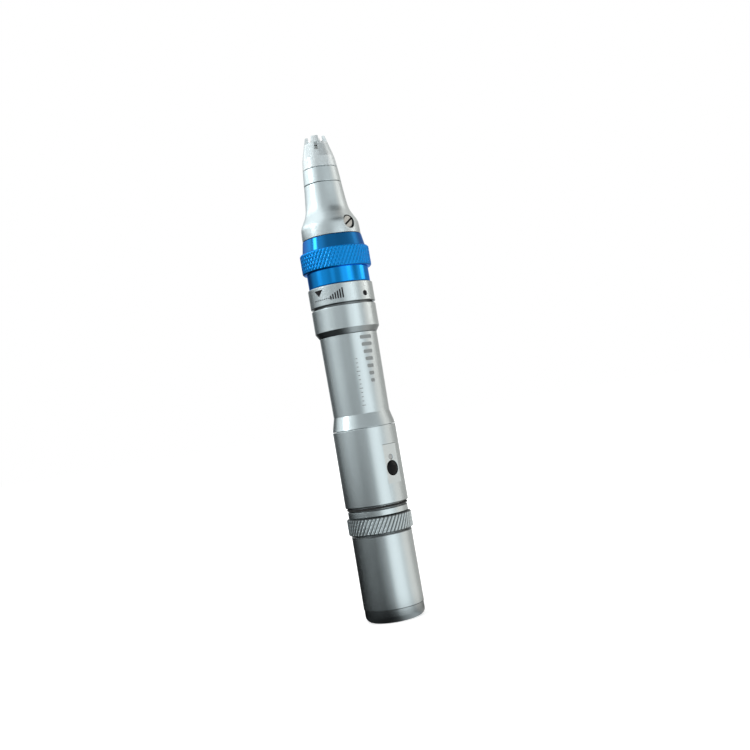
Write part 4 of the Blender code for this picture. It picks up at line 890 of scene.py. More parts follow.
class PEN_OT_ferrule(bpy.types.Operator):
    """Threaded ferrule with its seal, and the battery contacts"""

    bl_idname = "pen.ferrule"
    bl_label = "Tail ferrule"

    def execute(self, context):
        self.tube()
        seal_ring("tail_seal", "body", radius=10.2, wire=0.35, height=TAIL_SEAL)
        turned("contact_board", "body", "board_resist", [
            (0, BOARD_TOP, 0), (CONTACT_BOARD, BOARD_TOP, 0.08), (CONTACT_BOARD, BOARD_BASE, 0.08), (0, BOARD_BASE, 0),
        ])
        turned("contact_pin", "body", "brass_turned", [
            (0, PIN_TOP, 0), (PIN, PIN_TOP, 0.05), (PIN, PIN_BASE, 0.4), (0, PIN_BASE, 0),
        ], 48)
        return {"FINISHED"}

    @staticmethod
    def tube():
        """Turned about the axis, with a thread on its neck: the radius falls by a triangle wave of the
        height less the pitch times the turn, and the wave fades out at both ends."""
        pitch, deep = 0.75, 0.30
        theta = angles(read_sizes().columns)
        upper = softened([
            (FERRULE_MOUTH, FERRULE_LIP, 0), (FERRULE_MOUTH, FERRULE_TOP, 0.1), (SPIGOT, FERRULE_TOP, 0.15),
            (SPIGOT, BAND_TOP, 0), (BAND, BAND_TOP, 0.25), (BAND, BAND_BASE, 0.25), (FERRULE_NECK - 0.02, BAND_BASE, 0),
        ], closed=False)
        lower = softened([(FERRULE_NECK - 0.2, FERRULE_BASE, 0), (FERRULE_BORE, FERRULE_BASE, 0.1),
                          (FERRULE_BORE, FERRULE_LIP, 0)], closed=False)
        rows = band_rows(FERRULE_BASE + 0.05, BAND_BASE - 0.3, 0.08)[::-1, None]
        ridge = np.abs(((rows / pitch - theta / math.tau) % 1.0) - 0.5) * 2
        fade = np.clip((BAND_BASE - 0.6 - rows) / 0.5, 0, 1) * np.clip((rows - FERRULE_BASE) / 0.5, 0, 1)
        thread = FERRULE_NECK - 0.02 - deep * (1 - fade) - deep * fade * ridge
        form = Form()
        form.sheet(form.add(np.concatenate([
            round_places(upper[:, :1], upper[:, 1:], theta),
            round_places(thread, rows, theta),
            round_places(lower[:, :1], lower[:, 1:], theta),
        ])), wrap_rows=True)
        form.piece("tail_ferrule", "body", "silver_tail")


def seal_ring(name, body, radius, wire, height):
    """An O-ring: a circle of the wire's radius turned about the axis, 20 steps round its section."""
    turn, theta = angles(20)[:, None], angles(read_sizes().columns)
    places = round_places(radius + wire * np.cos(turn), height - wire * np.sin(turn), theta)
    form = Form()
    form.sheet(form.add(places), wrap_rows=True)
    form.piece(name, body, "seal_rubber")


class PEN_OT_housing(bpy.types.Operator):
    """Rear housing with its milled panel, button and lamp window"""

    bl_idname = "pen.housing"
    bl_label = "Rear housing"

    def execute(self, context):
        self.tube()
        self.button()
        self.lens()
        return {"FINISHED"}

    @staticmethod
    def tube():
        """A grid of rows and columns at the housing's radius, and on the panel at the flat's, which is the
        face's distance / cos(angle from the front). The cells round the two holes are left out of the
        skin and the bore, and rings lead from there to the hole's chamfer and down its wall."""
        edge, inner_edge = math.asin(PANEL_HALF_WIDTH / HOUSING), math.asin(2.97 / HOUSING)
        theta = BUTTON_SIDE + np.concatenate([
            [-edge], np.linspace(-inner_edge, inner_edge, HOLE_COLUMNS), np.linspace(edge, math.tau - edge, 120)[:-1]])
        columns = slice(1, 1 + HOLE_COLUMNS)
        button_rows = np.linspace(BUTTON_HEIGHT - 2.97, BUTTON_HEIGHT + 2.8, 15)[::-1]
        lens_rows = np.linspace(LENS_HEIGHT - 0.95, LENS_HEIGHT + 1.6, 9)[::-1]
        panel = np.concatenate([[PANEL_TOP], lens_rows, button_rows, [PANEL_BASE]])
        lens_end = 1 + len(lens_rows)
        holes = ((slice(1, lens_end), LENS_HEIGHT, LENS_HOLE),
                 (slice(lens_end, len(panel) - 1), BUTTON_HEIGHT, BUTTON_HOLE))

        flat = np.abs((theta - BUTTON_SIDE + math.pi) % math.tau - math.pi) <= edge + 1e-6
        tops = softened([(HOUSING_BORE, HOUSING_TOP, 0), (HOUSING, HOUSING_TOP, 0.15), (HOUSING, PANEL_TOP, 0)],
                        closed=False)[:-1]
        lows = softened([(HOUSING, PANEL_BASE, 0), (HOUSING, HOUSING_BASE, 0.3), (HOUSING_BORE, HOUSING_BASE, 0)],
                        closed=False)[1:]
        ramp = 0.03
        heights = np.concatenate([tops[:, 1], [PANEL_TOP + ramp], panel, [PANEL_BASE - ramp], lows[:, 1]])
        radius = np.concatenate([tops[:, 0], np.full(len(panel) + 2, HOUSING), lows[:, 0]])[:, None] + 0 * theta
        start = len(tops) + 1
        sunk = np.minimum(HOUSING, PANEL_FACE / np.cos(np.where(flat, theta - BUTTON_SIDE, 0.0)))
        radius[start:start + len(panel)] = np.where(flat, sunk, HOUSING)
        bore_heights = np.concatenate([[HOUSING_TOP - 0.5], panel, [HOUSING_BASE + 0.5]])
        form = Form()
        outer = form.add(round_places(radius, heights[:, None], theta))
        inner = form.add(round_places(HOUSING_BORE, bore_heights[:, None], theta))
        outsides, insides = (
            form.sheet_around(grid, [(slice(rows.start + shift, rows.stop + shift), columns) for rows, _, _ in holes])
            for grid, shift in ((outer, start), (inner, 1)))
        form.rings([outer[0], inner[0]])
        form.rings([outer[-1], inner[-1]])

        places = np.concatenate(form.points)
        chamfer = 0.12
        for (_, height, hole), outside, inside in zip(holes, outsides, insides):
            skin, around = about(places[outside], height)
            bore, _ = about(places[inside], height)
            loops = [outside]
            for share in (0.4, 0.8):
                mixed = skin * (1 - share) + around * (hole + chamfer) * share
                loops.append(form.lay(mixed, PANEL_FACE, height))
            for r, depth in ((hole + chamfer, 0.0), (hole + 0.04, 0.04), (hole, chamfer), (hole, 0.3)):
                loops.append(form.lay(around * r, PANEL_FACE - depth, height))
            for share in (0.0, 0.5):
                mixed = around * hole * (1 - share) + bore * share
                loops.append(form.lay(mixed, np.sqrt(HOUSING_BORE**2 - mixed[:, 0] ** 2), height))
            form.rings([*loops, inside])
        for column in (0, columns.stop):
            form.crease(outer[start:start + len(panel), column])
        form.piece("rear_housing", "body", "silver_tail")

    @staticmethod
    def button():
        """Its crown falls from the middle by a power of the radius, and a flange holds it in the panel."""
        flat, flange = BUTTON - 0.12, BUTTON + 0.5
        share = np.linspace(0, 1, 14)[:, None]
        crown = np.concatenate([flat * share, BUTTON_CROWN - (BUTTON_CROWN - BUTTON_EDGE) * share**3.2], axis=1)
        rim = softened([(flat, BUTTON_EDGE, 0), (BUTTON, BUTTON_SHOULDER, 0.1), (BUTTON, BUTTON_FLANGE, 0),
                        (flange, BUTTON_FLANGE, 0.1), (flange, BUTTON_BACK, 0.1), (0, BUTTON_BACK, 0)], closed=False)
        form = Form()
        facing_front(form, np.concatenate([crown, rim[1:]]), BUTTON_HEIGHT, 72)
        form.piece("power_button", "button", "button_plastic")

    @staticmethod
    def lens():
        """A small round window with a rounded edge."""
        form = Form()
        facing_front(form, softened([(0, LENS_FACE, 0), (0.7, LENS_FACE - 0.01, 0.1), (LENS, LENS_FACE - 0.11, 0.1),
                                     (LENS, LENS_BACK, 0.05), (0, LENS_BACK, 0)], closed=False), LENS_HEIGHT, 40)
        form.piece("indicator_lens", "body", "lamp_window")


class PEN_OT_barrel(bpy.types.Operator):
    """Waisted barrel and the front housing"""

    bl_idname = "pen.barrel"
    bl_label = "Barrel and front housing"

    def execute(self, context):
        turned("main_barrel", "body", "silver_barrel", [
            (BARREL_BORE, BARREL_TOP, 0.1), (BARREL + BARREL_GAIN, BARREL_TOP, 0.1), (BARREL, FLARE_TOP - 0.5, 0),
            (HOUSING, BARREL_BASE, 0.1), (SPIGOT, BARREL_BASE, 0), (SPIGOT, SPIGOT_BASE, 0.2),
            (BARREL_BORE, SPIGOT_BASE, 0.1),
        ], sharp=9.0)
        turned("front_housing", "body", "silver_front", [
            (GUIDE_SEAT, FRONT_NECK_TOP, 0.1), (FRONT_NECK, FRONT_NECK_TOP, 0.2), (FRONT_NECK, RETAINER_HIGH, 0),
            (FRONT_GROOVE, RETAINER_HIGH, 0), (FRONT_GROOVE, RETAINER_LOW, 0), (FRONT_NECK, RETAINER_LOW, 0),
            (FRONT_NECK, SCALE_SEAT_TOP, 0), (SCALE_SEAT, SCALE_SEAT_TOP, 0.1), (SCALE_SEAT, FRONT_TOP, 0),
            (FRONT, FRONT_TOP, 0.25), (FRONT, FRONT_SHOULDER, 0.06), (FRONT_FOOT, FRONT_BASE, 0.06),
            (FRONT_PLUG, FRONT_BASE, 0), (FRONT_PLUG, FRONT_SPIGOT, 0.2), (CHAMBER, FRONT_SPIGOT, 0.1),
            (CHAMBER, CHAMBER_TOP, 0), (GUIDE_SEAT, CHAMBER_TOP, 0),
        ])
        turned("scale_collar", "body", "silver_front", [
            (SCALE_BORE, SCALE_TOP, 0.08), (SCALE, SCALE_TOP, 0.3), (SCALE, SCALE_BASE, 0.3),
            (SCALE_BORE, SCALE_BASE, 0.08),
        ])
        return {"FINISHED"}


class PEN_OT_marks(bpy.types.Operator):
    """Plain index marks on the scale collar and bars on the barrel"""

    bl_idname = "pen.marks"
    bl_label = "Marks"

    def execute(self, context):
        self.scale(math.radians(CAMERA_SIDE))
        self.bars(math.radians(CAMERA_SIDE))
        return {"FINISHED"}

    @staticmethod
    def scale(side):
        """On the scale collar: a triangle over a row of dots, bars that grow, and one larger dot."""
        form = Form()
        decal(form, SCALE, side + math.radians(-42), 113.5, triangle_rim(3.9, 2.2))
        for number in range(9):
            decal(form, SCALE, side + math.radians(-54 + 4.5 * number), 111.2, dot_rim(0.46, 12))
        for number in range(6):
            tall = 1.4 + 0.42 * number
            decal(form, SCALE, side + math.radians(-19 + 4.4 * number), 110.6 + tall / 2, bar_rim(0.5, tall))
        decal(form, SCALE, side + math.radians(45.7), 111.4, dot_rim(1.9))
        form.piece("scale_marks", "body", "mark_ink")

    @staticmethod
    def bars(side):
        """On the barrel: a column of bars that widen upwards, and a fine ruler with every fourth bar wide."""
        form = Form()
        for number in range(7):
            wide = 1.5 + 0.55 * number
            height = 81.6 + 2.5 * number
            decal(form, barrel_radius(height), side + math.radians(36), height, bar_rim(wide, 1.25))
        for number in range(12):
            wide = 1.3 if number % 4 == 0 else 0.7
            height = 73.6 + 1.45 * number
            decal(form, barrel_radius(height), side + math.radians(8), height, bar_rim(wide, 0.28))
        form.piece("barrel_marks", "body", "bar_ink")


class PEN_OT_depth_ring(bpy.types.Operator):
    """Blue knurled depth ring"""

    bl_idname = "pen.depth_ring"
    bl_label = "Depth ring"

    def execute(self, context):
        above = [(RING_BAND + 0.35, KNURL_TOP, 0), (RING_UPPER, RING_TOP, 0.25), (RING_BORE, RING_TOP, 0.1),
                 (RING_BORE, RETAINER_HIGH, 0), (RING_GROOVE, RETAINER_HIGH, 0)]
        below = [(RING_GROOVE, RETAINER_LOW, 0), (RING_BORE, RETAINER_LOW, 0), (RING_BORE, RING_BASE, 0.1),
                 (RING_BAND, RING_BASE, 0.25), (RING_BAND, KNURL_BASE, 0)]
        sizes = read_sizes()
        knurled("depth_ring", "dial", "blue_anodised",
                (RING_CREST, KNURL_BASE + 0.02, KNURL_TOP - 0.02), below, above,
                pitch=sizes.knurl_pitch / MM, depth=sizes.knurl_depth / MM, width=0.55, cross=0.6)
        return {"FINISHED"}


class PEN_OT_nose(bpy.types.Operator):
    """Nose cone with its screw, and the lock ring"""

    bl_idname = "pen.nose"
    bl_label = "Nose and lock ring"

    def execute(self, context):
        self.cone()
        self.screw()
        self.lock_ring()
        return {"FINISHED"}

    @staticmethod
    def cone():
        """The flank's line turned about the axis, with the cells round the screw left out of the skin and
        the bore. Rings lead from there over the skin into the screw's pit, and on through its hole."""
        half = math.asin(3.0 / NOSE_FOOT)
        theta = BUTTON_SIDE + np.concatenate([
            np.linspace(-half, half, HOLE_COLUMNS), np.linspace(half, math.tau - half, 104)[1:-1]])
        flank = nose_line(72)[::-1]
        heights, radii = flank[::-1, 1], flank[::-1, 0]
        low, high = SCREW_HEIGHT - 3.0, SCREW_HEIGHT + 3.0
        rows = np.linspace(high, low, 17)
        above, below = flank[flank[:, 1] > high + 0.1], flank[flank[:, 1] < low - 0.1]
        tops = softened([
            (SOCKET, SEAL_HEIGHT + SEAL_HALF, 0), (SOCKET, NOSE_SPIGOT, 0.1), (NOSE_PLUG, NOSE_SPIGOT, 0.15),
            (NOSE_PLUG, NOSE_TOP, 0), (NOSE_TIP, NOSE_TOP, 0.2), (*above[1], 0)], closed=False)[:-1]
        foot = softened([
            (*below[-2], 0), (NOSE_FOOT, NOSE_BASE, 0.2), (FRONT_NECK, NOSE_BASE, 0), (FRONT_NECK, SKIRT_BASE, 0.2),
            (GUIDE_SEAT, SKIRT_BASE, 0.1)], closed=False)[1:]
        skin = np.stack([np.interp(rows, heights, radii), rows], axis=1)
        outer_line = np.concatenate([tops, above[1:], skin, below[:-1], foot])
        seat_line = [(SEAL_GROOVE, SEAL_HEIGHT + SEAL_HALF), (SEAL_GROOVE, SEAL_HEIGHT - SEAL_HALF),
                     (SOCKET, SEAL_HEIGHT - SEAL_HALF), (SOCKET, SOCKET_BASE), (GUIDE_SEAT, SOCKET_BASE)]
        inner_line = np.concatenate([seat_line, np.stack([np.full(len(rows), GUIDE_SEAT), rows], axis=1)])
        form = Form()
        outer, inner = (form.add(round_places(line[:, :1], line[:, 1:], theta)) for line in (outer_line, inner_line))
        outside, inside = (
            form.sheet_around(grid, [(slice(first, first + len(rows)), slice(0, HOLE_COLUMNS))])[0]
            for grid, first in ((outer, len(tops) + len(above) - 1), (inner, len(seat_line))))
        form.rings([outer[0], inner[0]])
        form.rings([outer[-1], inner[-1]])

        pairs, around = about(np.concatenate(form.points)[outside], SCREW_HEIGHT)
        lip = around * (SCREW_PIT + 0.1)
        loops = [outside]
        for pairs, sink in ((pairs * 0.5 + lip * 0.5, 0.0), (lip, 0.0), (around * (SCREW_PIT + 0.02), 0.03),
                            (around * SCREW_PIT, 0.12)):
            radius = np.interp(SCREW_HEIGHT + pairs[:, 1], heights, radii) - sink
            loops.append(form.lay(pairs, np.sqrt(radius**2 - pairs[:, 0] ** 2), SCREW_HEIGHT))
        hole = around * SCREW_HOLE
        for pairs, out in ((around * SCREW_PIT, PIT_FLOOR), (hole, PIT_FLOOR),
                           (hole, np.sqrt(GUIDE_SEAT**2 - hole[:, 0] ** 2))):
            loops.append(form.lay(pairs, out, SCREW_HEIGHT))
        form.rings([*loops, inside])
        form.piece("nose_cone", "nose", "silver_nose")

    @staticmethod
    def lock_ring():
        """Turned about the axis, with its bore stepped out over the two slots that take the lugs."""
        half = math.asin(LUG_SLOT_HALF / LUG_SLOT_REACH)
        theta = step_columns(read_sizes().columns, edges_of((0, math.pi), half), 0.012)
        line = softened([
            (SOCKET, LAND_BASE, 0), (SOCKET, LOCK_TOP, 0.1), (LOCK_TIP, LOCK_TOP, 0.25), (NOSE_TIP, LOCK_BASE, 0.2),
            (LOCK_SEAT, LOCK_BASE, 0), (LOCK_SEAT, LAND_BASE, 0)], closed=False)
        radius = line[:, :1] + 0 * theta
        bore = line[:, 0] < SOCKET + 0.15
        radius[bore] += np.where(near(theta, (0, math.pi), half), LUG_REACH, 0.0)
        form = Form()
        form.sheet(form.add(round_places(radius, line[:, 1:], theta)), wrap_rows=True)
        form.piece("lock_ring", "nose", "silver_nose")

    @staticmethod
    def screw():
        """Slotted screw. Its face is a grid of chords: row angle a gives the distance R sin a across the
        slot and the chord's half length R cos a, and the rows that fall in the slot are sunk. From the
        rim the head, shank and tip are rings of (radius, distance from the pen's axis)."""
        rings = ((SCREW_HEAD, SCREW_SEAT), (1.3, SCREW_SEAT), (1.3, 4.8), (1.1, 4.6))
        side = np.sin(np.linspace(0.2, 1.5, 9)) * SCREW_HEAD
        v = np.concatenate([-side[::-1], [-SLOT_HALF - 0.01, -SLOT_HALF, 0.0, SLOT_HALF, SLOT_HALF + 0.01], side])
        u = np.sqrt(SCREW_HEAD**2 - v**2)[:, None] * np.sin(np.linspace(-math.pi / 2, math.pi / 2, 21))
        across = v[:, None] + 0 * u
        rim = np.clip(np.hypot(u, across) - (SCREW_HEAD - 0.18), 0, None)
        sunk = np.where(np.abs(v) < SLOT_HALF + 0.005, SLOT_DEPTH, 0)[:, None]
        cos, sin = math.cos(SCREW_LEAN), math.sin(SCREW_LEAN)

        def places(u, v, out):
            """Places along and across the slot, turned by its lean."""
            return front_places(u * cos - v * sin, out, SCREW_HEIGHT + u * sin + v * cos)
        form = Form()
        grid = form.add(places(u, across, SCREW_FACE - 0.7 * rim - sunk))
        form.sheet(grid, wrap_columns=False)
        turn = np.unwrap(np.arctan2(border(across), border(u)))
        loops = [border(grid)]
        for r, out in rings:
            loops.append(form.add(places(r * np.cos(turn), r * np.sin(turn), out)))
        form.rings(loops)
        form.fan(loops[-1], form.add(front_places([0], rings[-1][1], SCREW_HEIGHT))[0])
        form.piece("guide_screw", "nose", "screw_steel")


class PEN_OT_cartridge(bpy.types.Operator):
    """Clear nozzle, cartridge barrel, seal, carrier and needles"""

    bl_idname = "pen.cartridge"
    bl_label = "Needle cartridge"

    def execute(self, context):
        self.nozzle()
        seal_ring("cartridge_seal", "seal", radius=5.05, wire=0.3, height=SEAL_HEIGHT)
        turned("cartridge_barrel", "cartridge", "white_plastic", [
            (SLEEVE_BORE, NOSE_TOP, 0.1), (CARTRIDGE, NOSE_TOP, 0.15), (CARTRIDGE, SLEEVE_BASE, 0.4),
            (SLEEVE_BORE, SLEEVE_BASE, 0.1),
        ])
        turned("needle_carrier", "needles", "white_plastic", [
            (0, CARRIER_TOP, 0), (CARRIER, CARRIER_TOP, 0.1), (CARRIER, FLANGE_TOP, 0),
            (CARRIER_FLANGE, FLANGE_TOP, 0.1), (CARRIER_FLANGE, FLANGE_BASE, 0.1), (CARRIER_STEM, FLANGE_BASE, 0),
            (CARRIER_STEM, STEM_BASE, 0.3), (0, STEM_BASE, 0),
        ], 64)
        self.needles()
        return {"FINISHED"}

    @staticmethod
    def needles():
        """A round plate and the needles standing in it, each a pointed line turned about its own axis."""
        form = Form()
        spun(form, softened([(0, PLATE_TOP, 0), (PLATE, PLATE_TOP, 0.08), (PLATE, PLATE_BASE, 0.06),
                             (0, PLATE_BASE, 0)], closed=False), 64)
        line = np.array([(0, NEEDLE_ROOT), (NEEDLE, NEEDLE_ROOT), (NEEDLE, NEEDLE_SHOULDER), (0.02, NEEDLE_POINT),
                         (0, NEEDLE_TIP)])
        for circle, count in NEEDLE_RINGS:
            for turn in angles(count):
                spun(form, line, 14, (circle * math.cos(turn), circle * math.sin(turn), 0))
        form.piece("needle_cluster", "needles", "needle_steel")

    @staticmethod
    def nozzle():
        """The skin and the bore are lines turned about the axis. The lugs step the skin out, the crown's
        notches draw the top rows down, and the windows are cells left out of both, with walls between."""
        lugs, notches = (0, math.pi), [k * math.pi / 2 for k in range(4)]
        windows = [notch + math.pi / 4 for notch in notches]
        notch_half, window_half, lug_half = math.asin(1.5 / NOZZLE_TIP), 0.6 / 4.4, LUG_HALF / 5.0
        theta = step_columns(96, edges_of(notches, notch_half) + edges_of(lugs, lug_half), 0.008)
        window_columns = near(theta, windows, window_half + 0.02)
        lean = (NOZZLE_WIDE - NOZZLE_TIP) / (NOZZLE_TOP - NOZZLE_SHOULDER)
        rows = np.array([WINDOW_TOP, WINDOW_WAIST, WINDOW_STEP, WINDOW_BASE, NOZZLE_FLANK])
        side = np.stack([NOZZLE_TIP + lean * (NOZZLE_TOP - rows), rows], axis=1)
        tip = softened([(NOZZLE_MOUTH, NOZZLE_STEP, 0), (NOZZLE_MOUTH, NOZZLE_TOP, 0.12),
                        (NOZZLE_TIP, NOZZLE_TOP, 0.25), (*side[0], 0)], closed=False)[1:-1]
        base = softened([(*side[-1], 0), (NOZZLE_WIDE, NOZZLE_SHOULDER, 1.5), (LOCK_TIP, NOZZLE_BASE, 0.15),
                         (CARTRIDGE, NOZZLE_BASE, 0), (CARTRIDGE, LUG_TOP + 0.02, 0)], closed=False)[1:-1]
        neck = np.array([(CARTRIDGE, LUG_TOP + 0.01), (CARTRIDGE, LUG_TOP - 0.01), (CARTRIDGE, LUG_BASE + 0.01),
                         (CARTRIDGE, LUG_BASE - 0.01), (CARTRIDGE, NOZZLE_NECK + 0.2), (CARTRIDGE - 0.15, NOZZLE_NECK),
                         (NOZZLE_BORE, NOZZLE_NECK)])
        bore = np.array([(NOZZLE_BORE, WINDOW_BASE), (NOZZLE_BORE, WINDOW_STEP), (NOZZLE_MOUTH, NOZZLE_STEP),
                         (NOZZLE_MOUTH, WINDOW_WAIST), (NOZZLE_MOUTH, WINDOW_TOP)])
        line = np.concatenate([tip, side, base, neck])
        radius = line[:, :1] + 0 * theta
        lug_rows = slice(len(line) - len(neck) + 1, len(line) - len(neck) + 3)
        radius[lug_rows] += np.where(near(theta, lugs, lug_half), LUG_REACH, 0.0)
        sink = np.clip(line[:, 1:] - (NOZZLE_TOP - NOTCH_DEPTH), 0, None)
        height = line[:, 1:] - np.where(near(theta, notches, notch_half), sink, 0.0)
        form = Form()
        outer = form.add(round_places(radius, height, theta))
        inner = form.add(round_places(bore[:, :1], bore[:, 1:], theta))
        first = len(tip)
        open_cells = window_columns & np.roll(window_columns, -1)
        for grid, rows in ((outer, slice(first, first + 3)), (inner, slice(0, 4))):
            keep = np.ones((len(grid) - 1, len(theta)), bool)
            keep[rows] = ~open_cells
            form.sheet(grid, keep=keep)
        form.rings([outer[-1], inner[0]])
        form.rings([inner[-1], outer[0]])
        heads = np.flatnonzero(open_cells & ~np.roll(open_cells, 1))
        tails = np.flatnonzero(~open_cells & np.roll(open_cells, 1))
        middle = inner[4::-1]
        for head, tail in zip(heads, tails if tails[0] > heads[0] else np.roll(tails, -1)):
            span = np.arange(head, tail + 1) % len(theta)
            form.sheet(np.stack([outer[first, span], middle[0, span]]), wrap_columns=False)
            form.sheet(np.stack([outer[first + 3, span], middle[-1, span]]), wrap_columns=False)
            for column in (span[0], span[-1]):
                rim = outer[first:first + 4, column]
                back = middle[:, column]
                form.faces.append(np.array([[rim[0], rim[1], back[1], back[0]], [rim[1], rim[2], back[3], back[1]],
                                            [rim[2], rim[3], back[4], back[3]]]))
                form.faces.append(np.array([[back[1], back[3], back[2]]]))
        form.piece("cartridge_nozzle", "cartridge", "clear_plastic")


def coil(name, body, base, top, radius_base, radius_top, wire, turns):
    """A spring: the point at share t is (R cos a, R sin a, z) with a = turns * t. The climb eases at
    both ends so that the last turns lie flat, and a circle of the wire's radius is carried along it."""
    steps = int(turns * 40)
    share = np.linspace(0, 1, steps + 1)
    angle = share * turns * math.tau
    flat = 0.75 / turns
    climb = np.clip((share - flat) / (1 - 2 * flat), 0, 1)
    radius = radius_base + (radius_top - radius_base) * share
    z = base + wire + (top - base - 2 * wire) * climb
    middle = np.stack([radius * np.cos(angle), radius * np.sin(angle), z], axis=1)
    ahead = np.gradient(middle, axis=0)
    ahead /= np.linalg.norm(ahead, axis=1, keepdims=True)
    outwards = np.stack([np.cos(angle), np.sin(angle), 0 * angle], axis=1)
    side = np.cross(ahead, outwards)
    side /= np.linalg.norm(side, axis=1, keepdims=True)
    outwards = np.cross(side, ahead)
    turn = angles(12)[None, :, None]
    form = Form()
    grid = form.add(middle[:, None] + wire * (np.cos(turn) * outwards[:, None] + np.sin(turn) * side[:, None]))
    form.sheet(grid)
    for index in (0, -1):
        form.fan(grid[index], form.add(middle[index][None])[0])
    return form.piece(name, body, "steel_turned")


# CAD nodes that are shown as they are, by finish
KEPT_NODES = {
    "steel_turned": ("collar_clip", "motor_can", "motor_plate", "motor_shaft", "cam_follower", "follower_roller",
                     "guide_tube", "ring_retainer"),
    "bronze_turned": ("wobble_cam",),
    "brass_turned": ("motor_terminal_left", "motor_terminal_right"),
    "black_plastic": ("motor_endbell", "tact_switch"),
    "seal_rubber": ("motor_damper",),
    "white_plastic": ("board_cradle", "status_led"),
    "board_resist": ("circuit_board",),
    "red_sleeve": ("battery_lead_plus", "motor_lead_plus"),
    "black_sleeve": ("battery_lead_minus", "motor_lead_minus"),
}


class PEN_OT_drive(bpy.types.Operator):
    """Push rod, bushes and springs, and finishes for the pieces kept from the frame"""

    bl_idname = "pen.drive"
    bl_label = "Drive"

    def execute(self, context):
        turned("push_rod", "rod", "steel_turned", [
            (0, ROD_TOP, 0), (ROD, ROD_TOP, 0.3), (ROD, ROD_BASE, 0.1), (0, ROD_BASE, 0),
        ], 64)
        for name, low, high, slot, finish in (
            ("lower_bush", 117.567, 121.567, "bronze", "bronze_turned"),
            ("upper_bush", 131.1, 135.1, "bronze", "bronze_turned"),
            ("rod_wiper", 141.0, 142.6, "rubber", "seal_rubber"),
        ):
            turned(name, "body", finish, [
                (BUSH_BORE, high, 0.15), (BUSH, high, 0.15), (BUSH, low, 0.15), (BUSH_BORE, low, 0.15),
            ])
        coil("contact_spring", "battery", base=2.5, top=5.2, radius_base=7.66, radius_top=3.0, wire=0.3,
             turns=2.5)
        spring = coil("rod_spring", "body", base=106.367, top=117.267, radius_base=2.2, radius_top=2.2,
                      wire=0.4, turns=5.0)
        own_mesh(spring)
        spring = coil("cartridge_spring", "cartridge", base=153.7, top=164.35, radius_base=2.8, radius_top=2.8,
                      wire=0.3, turns=5.0)
        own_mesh(spring)
        for finish, nodes in KEPT_NODES.items():
            for node in nodes:
                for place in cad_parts[node].material_slots:
                    place.material = finish_named(finish)
        return {"FINISHED"}


# The studio's panels, as (low, high, soft edge, strength) in degrees round the pen from the camera's
# side, to its right. Those in the level light, those that only the depth ring's bright band mirrors,
# and those above the level, of which the last three are seen in the ring's slope
LEVEL_PANELS = ((-86, -40, 16, 0.20), (12, 60, 10, 0.56), (62, 108, 16, 0.34))
LOW_STRIP = (28, 50, 6, 0.2)
RING_PANELS = ((35, 50, 4, 0.9), (94, 114, 5, 1.7), (-26, -12, 5, 0.4), (-84, -64, 6, 0.4), (58, 80, 5, -0.5))
HIGH_PANELS = ((10, 74, 14, 0.1), (74, 118, 16, 0.34))
BAND_PANELS = ((-79, -65, 3, 7.0), (90, 112, 6, 0.5), (-138, -92, 8, 0.7))

# Camera: distance from the axis and height in metres, focal length in millimetres, and its last turns
CAMERA_DISTANCE, CAMERA_HEIGHT, CAMERA_LENS = 0.3572, 0.0689, 49.4
CAMERA_TURNS = (("Y", -1.1), ("X", 2.33), ("Z", -9.7))

# Lamps as (name, degrees round from the camera's side, height, size, power)
LAMPS = (("key", -60, 0.55, 0.5, 2.2), ("fill", 48, 0.35, 0.6, 0.9))
LAMP_DISTANCE, LAMP_AIM = 0.7, Vector((0, 0, 0.09))
WHITE = (1, 1, 1, 1)


def windows(way, rows):
    """Sum of soft windows in a direction, each given as (low, high, soft edge, strength)."""
    total = 0.0
    for low, high, soft, strength in rows:
        total = total + way.window(low, high, soft) * strength
    return total


def round_from_camera(x, y):
    """The angle in degrees round the pen, from the camera's side to its right, of a place or direction."""
    a = math.radians(CAMERA_SIDE)
    ahead = x * math.sin(a) + y * -math.cos(a)
    right = x * math.cos(a) + y * math.sin(a)
    return right.maths("ARCTAN2", ahead) * (180 / math.pi)


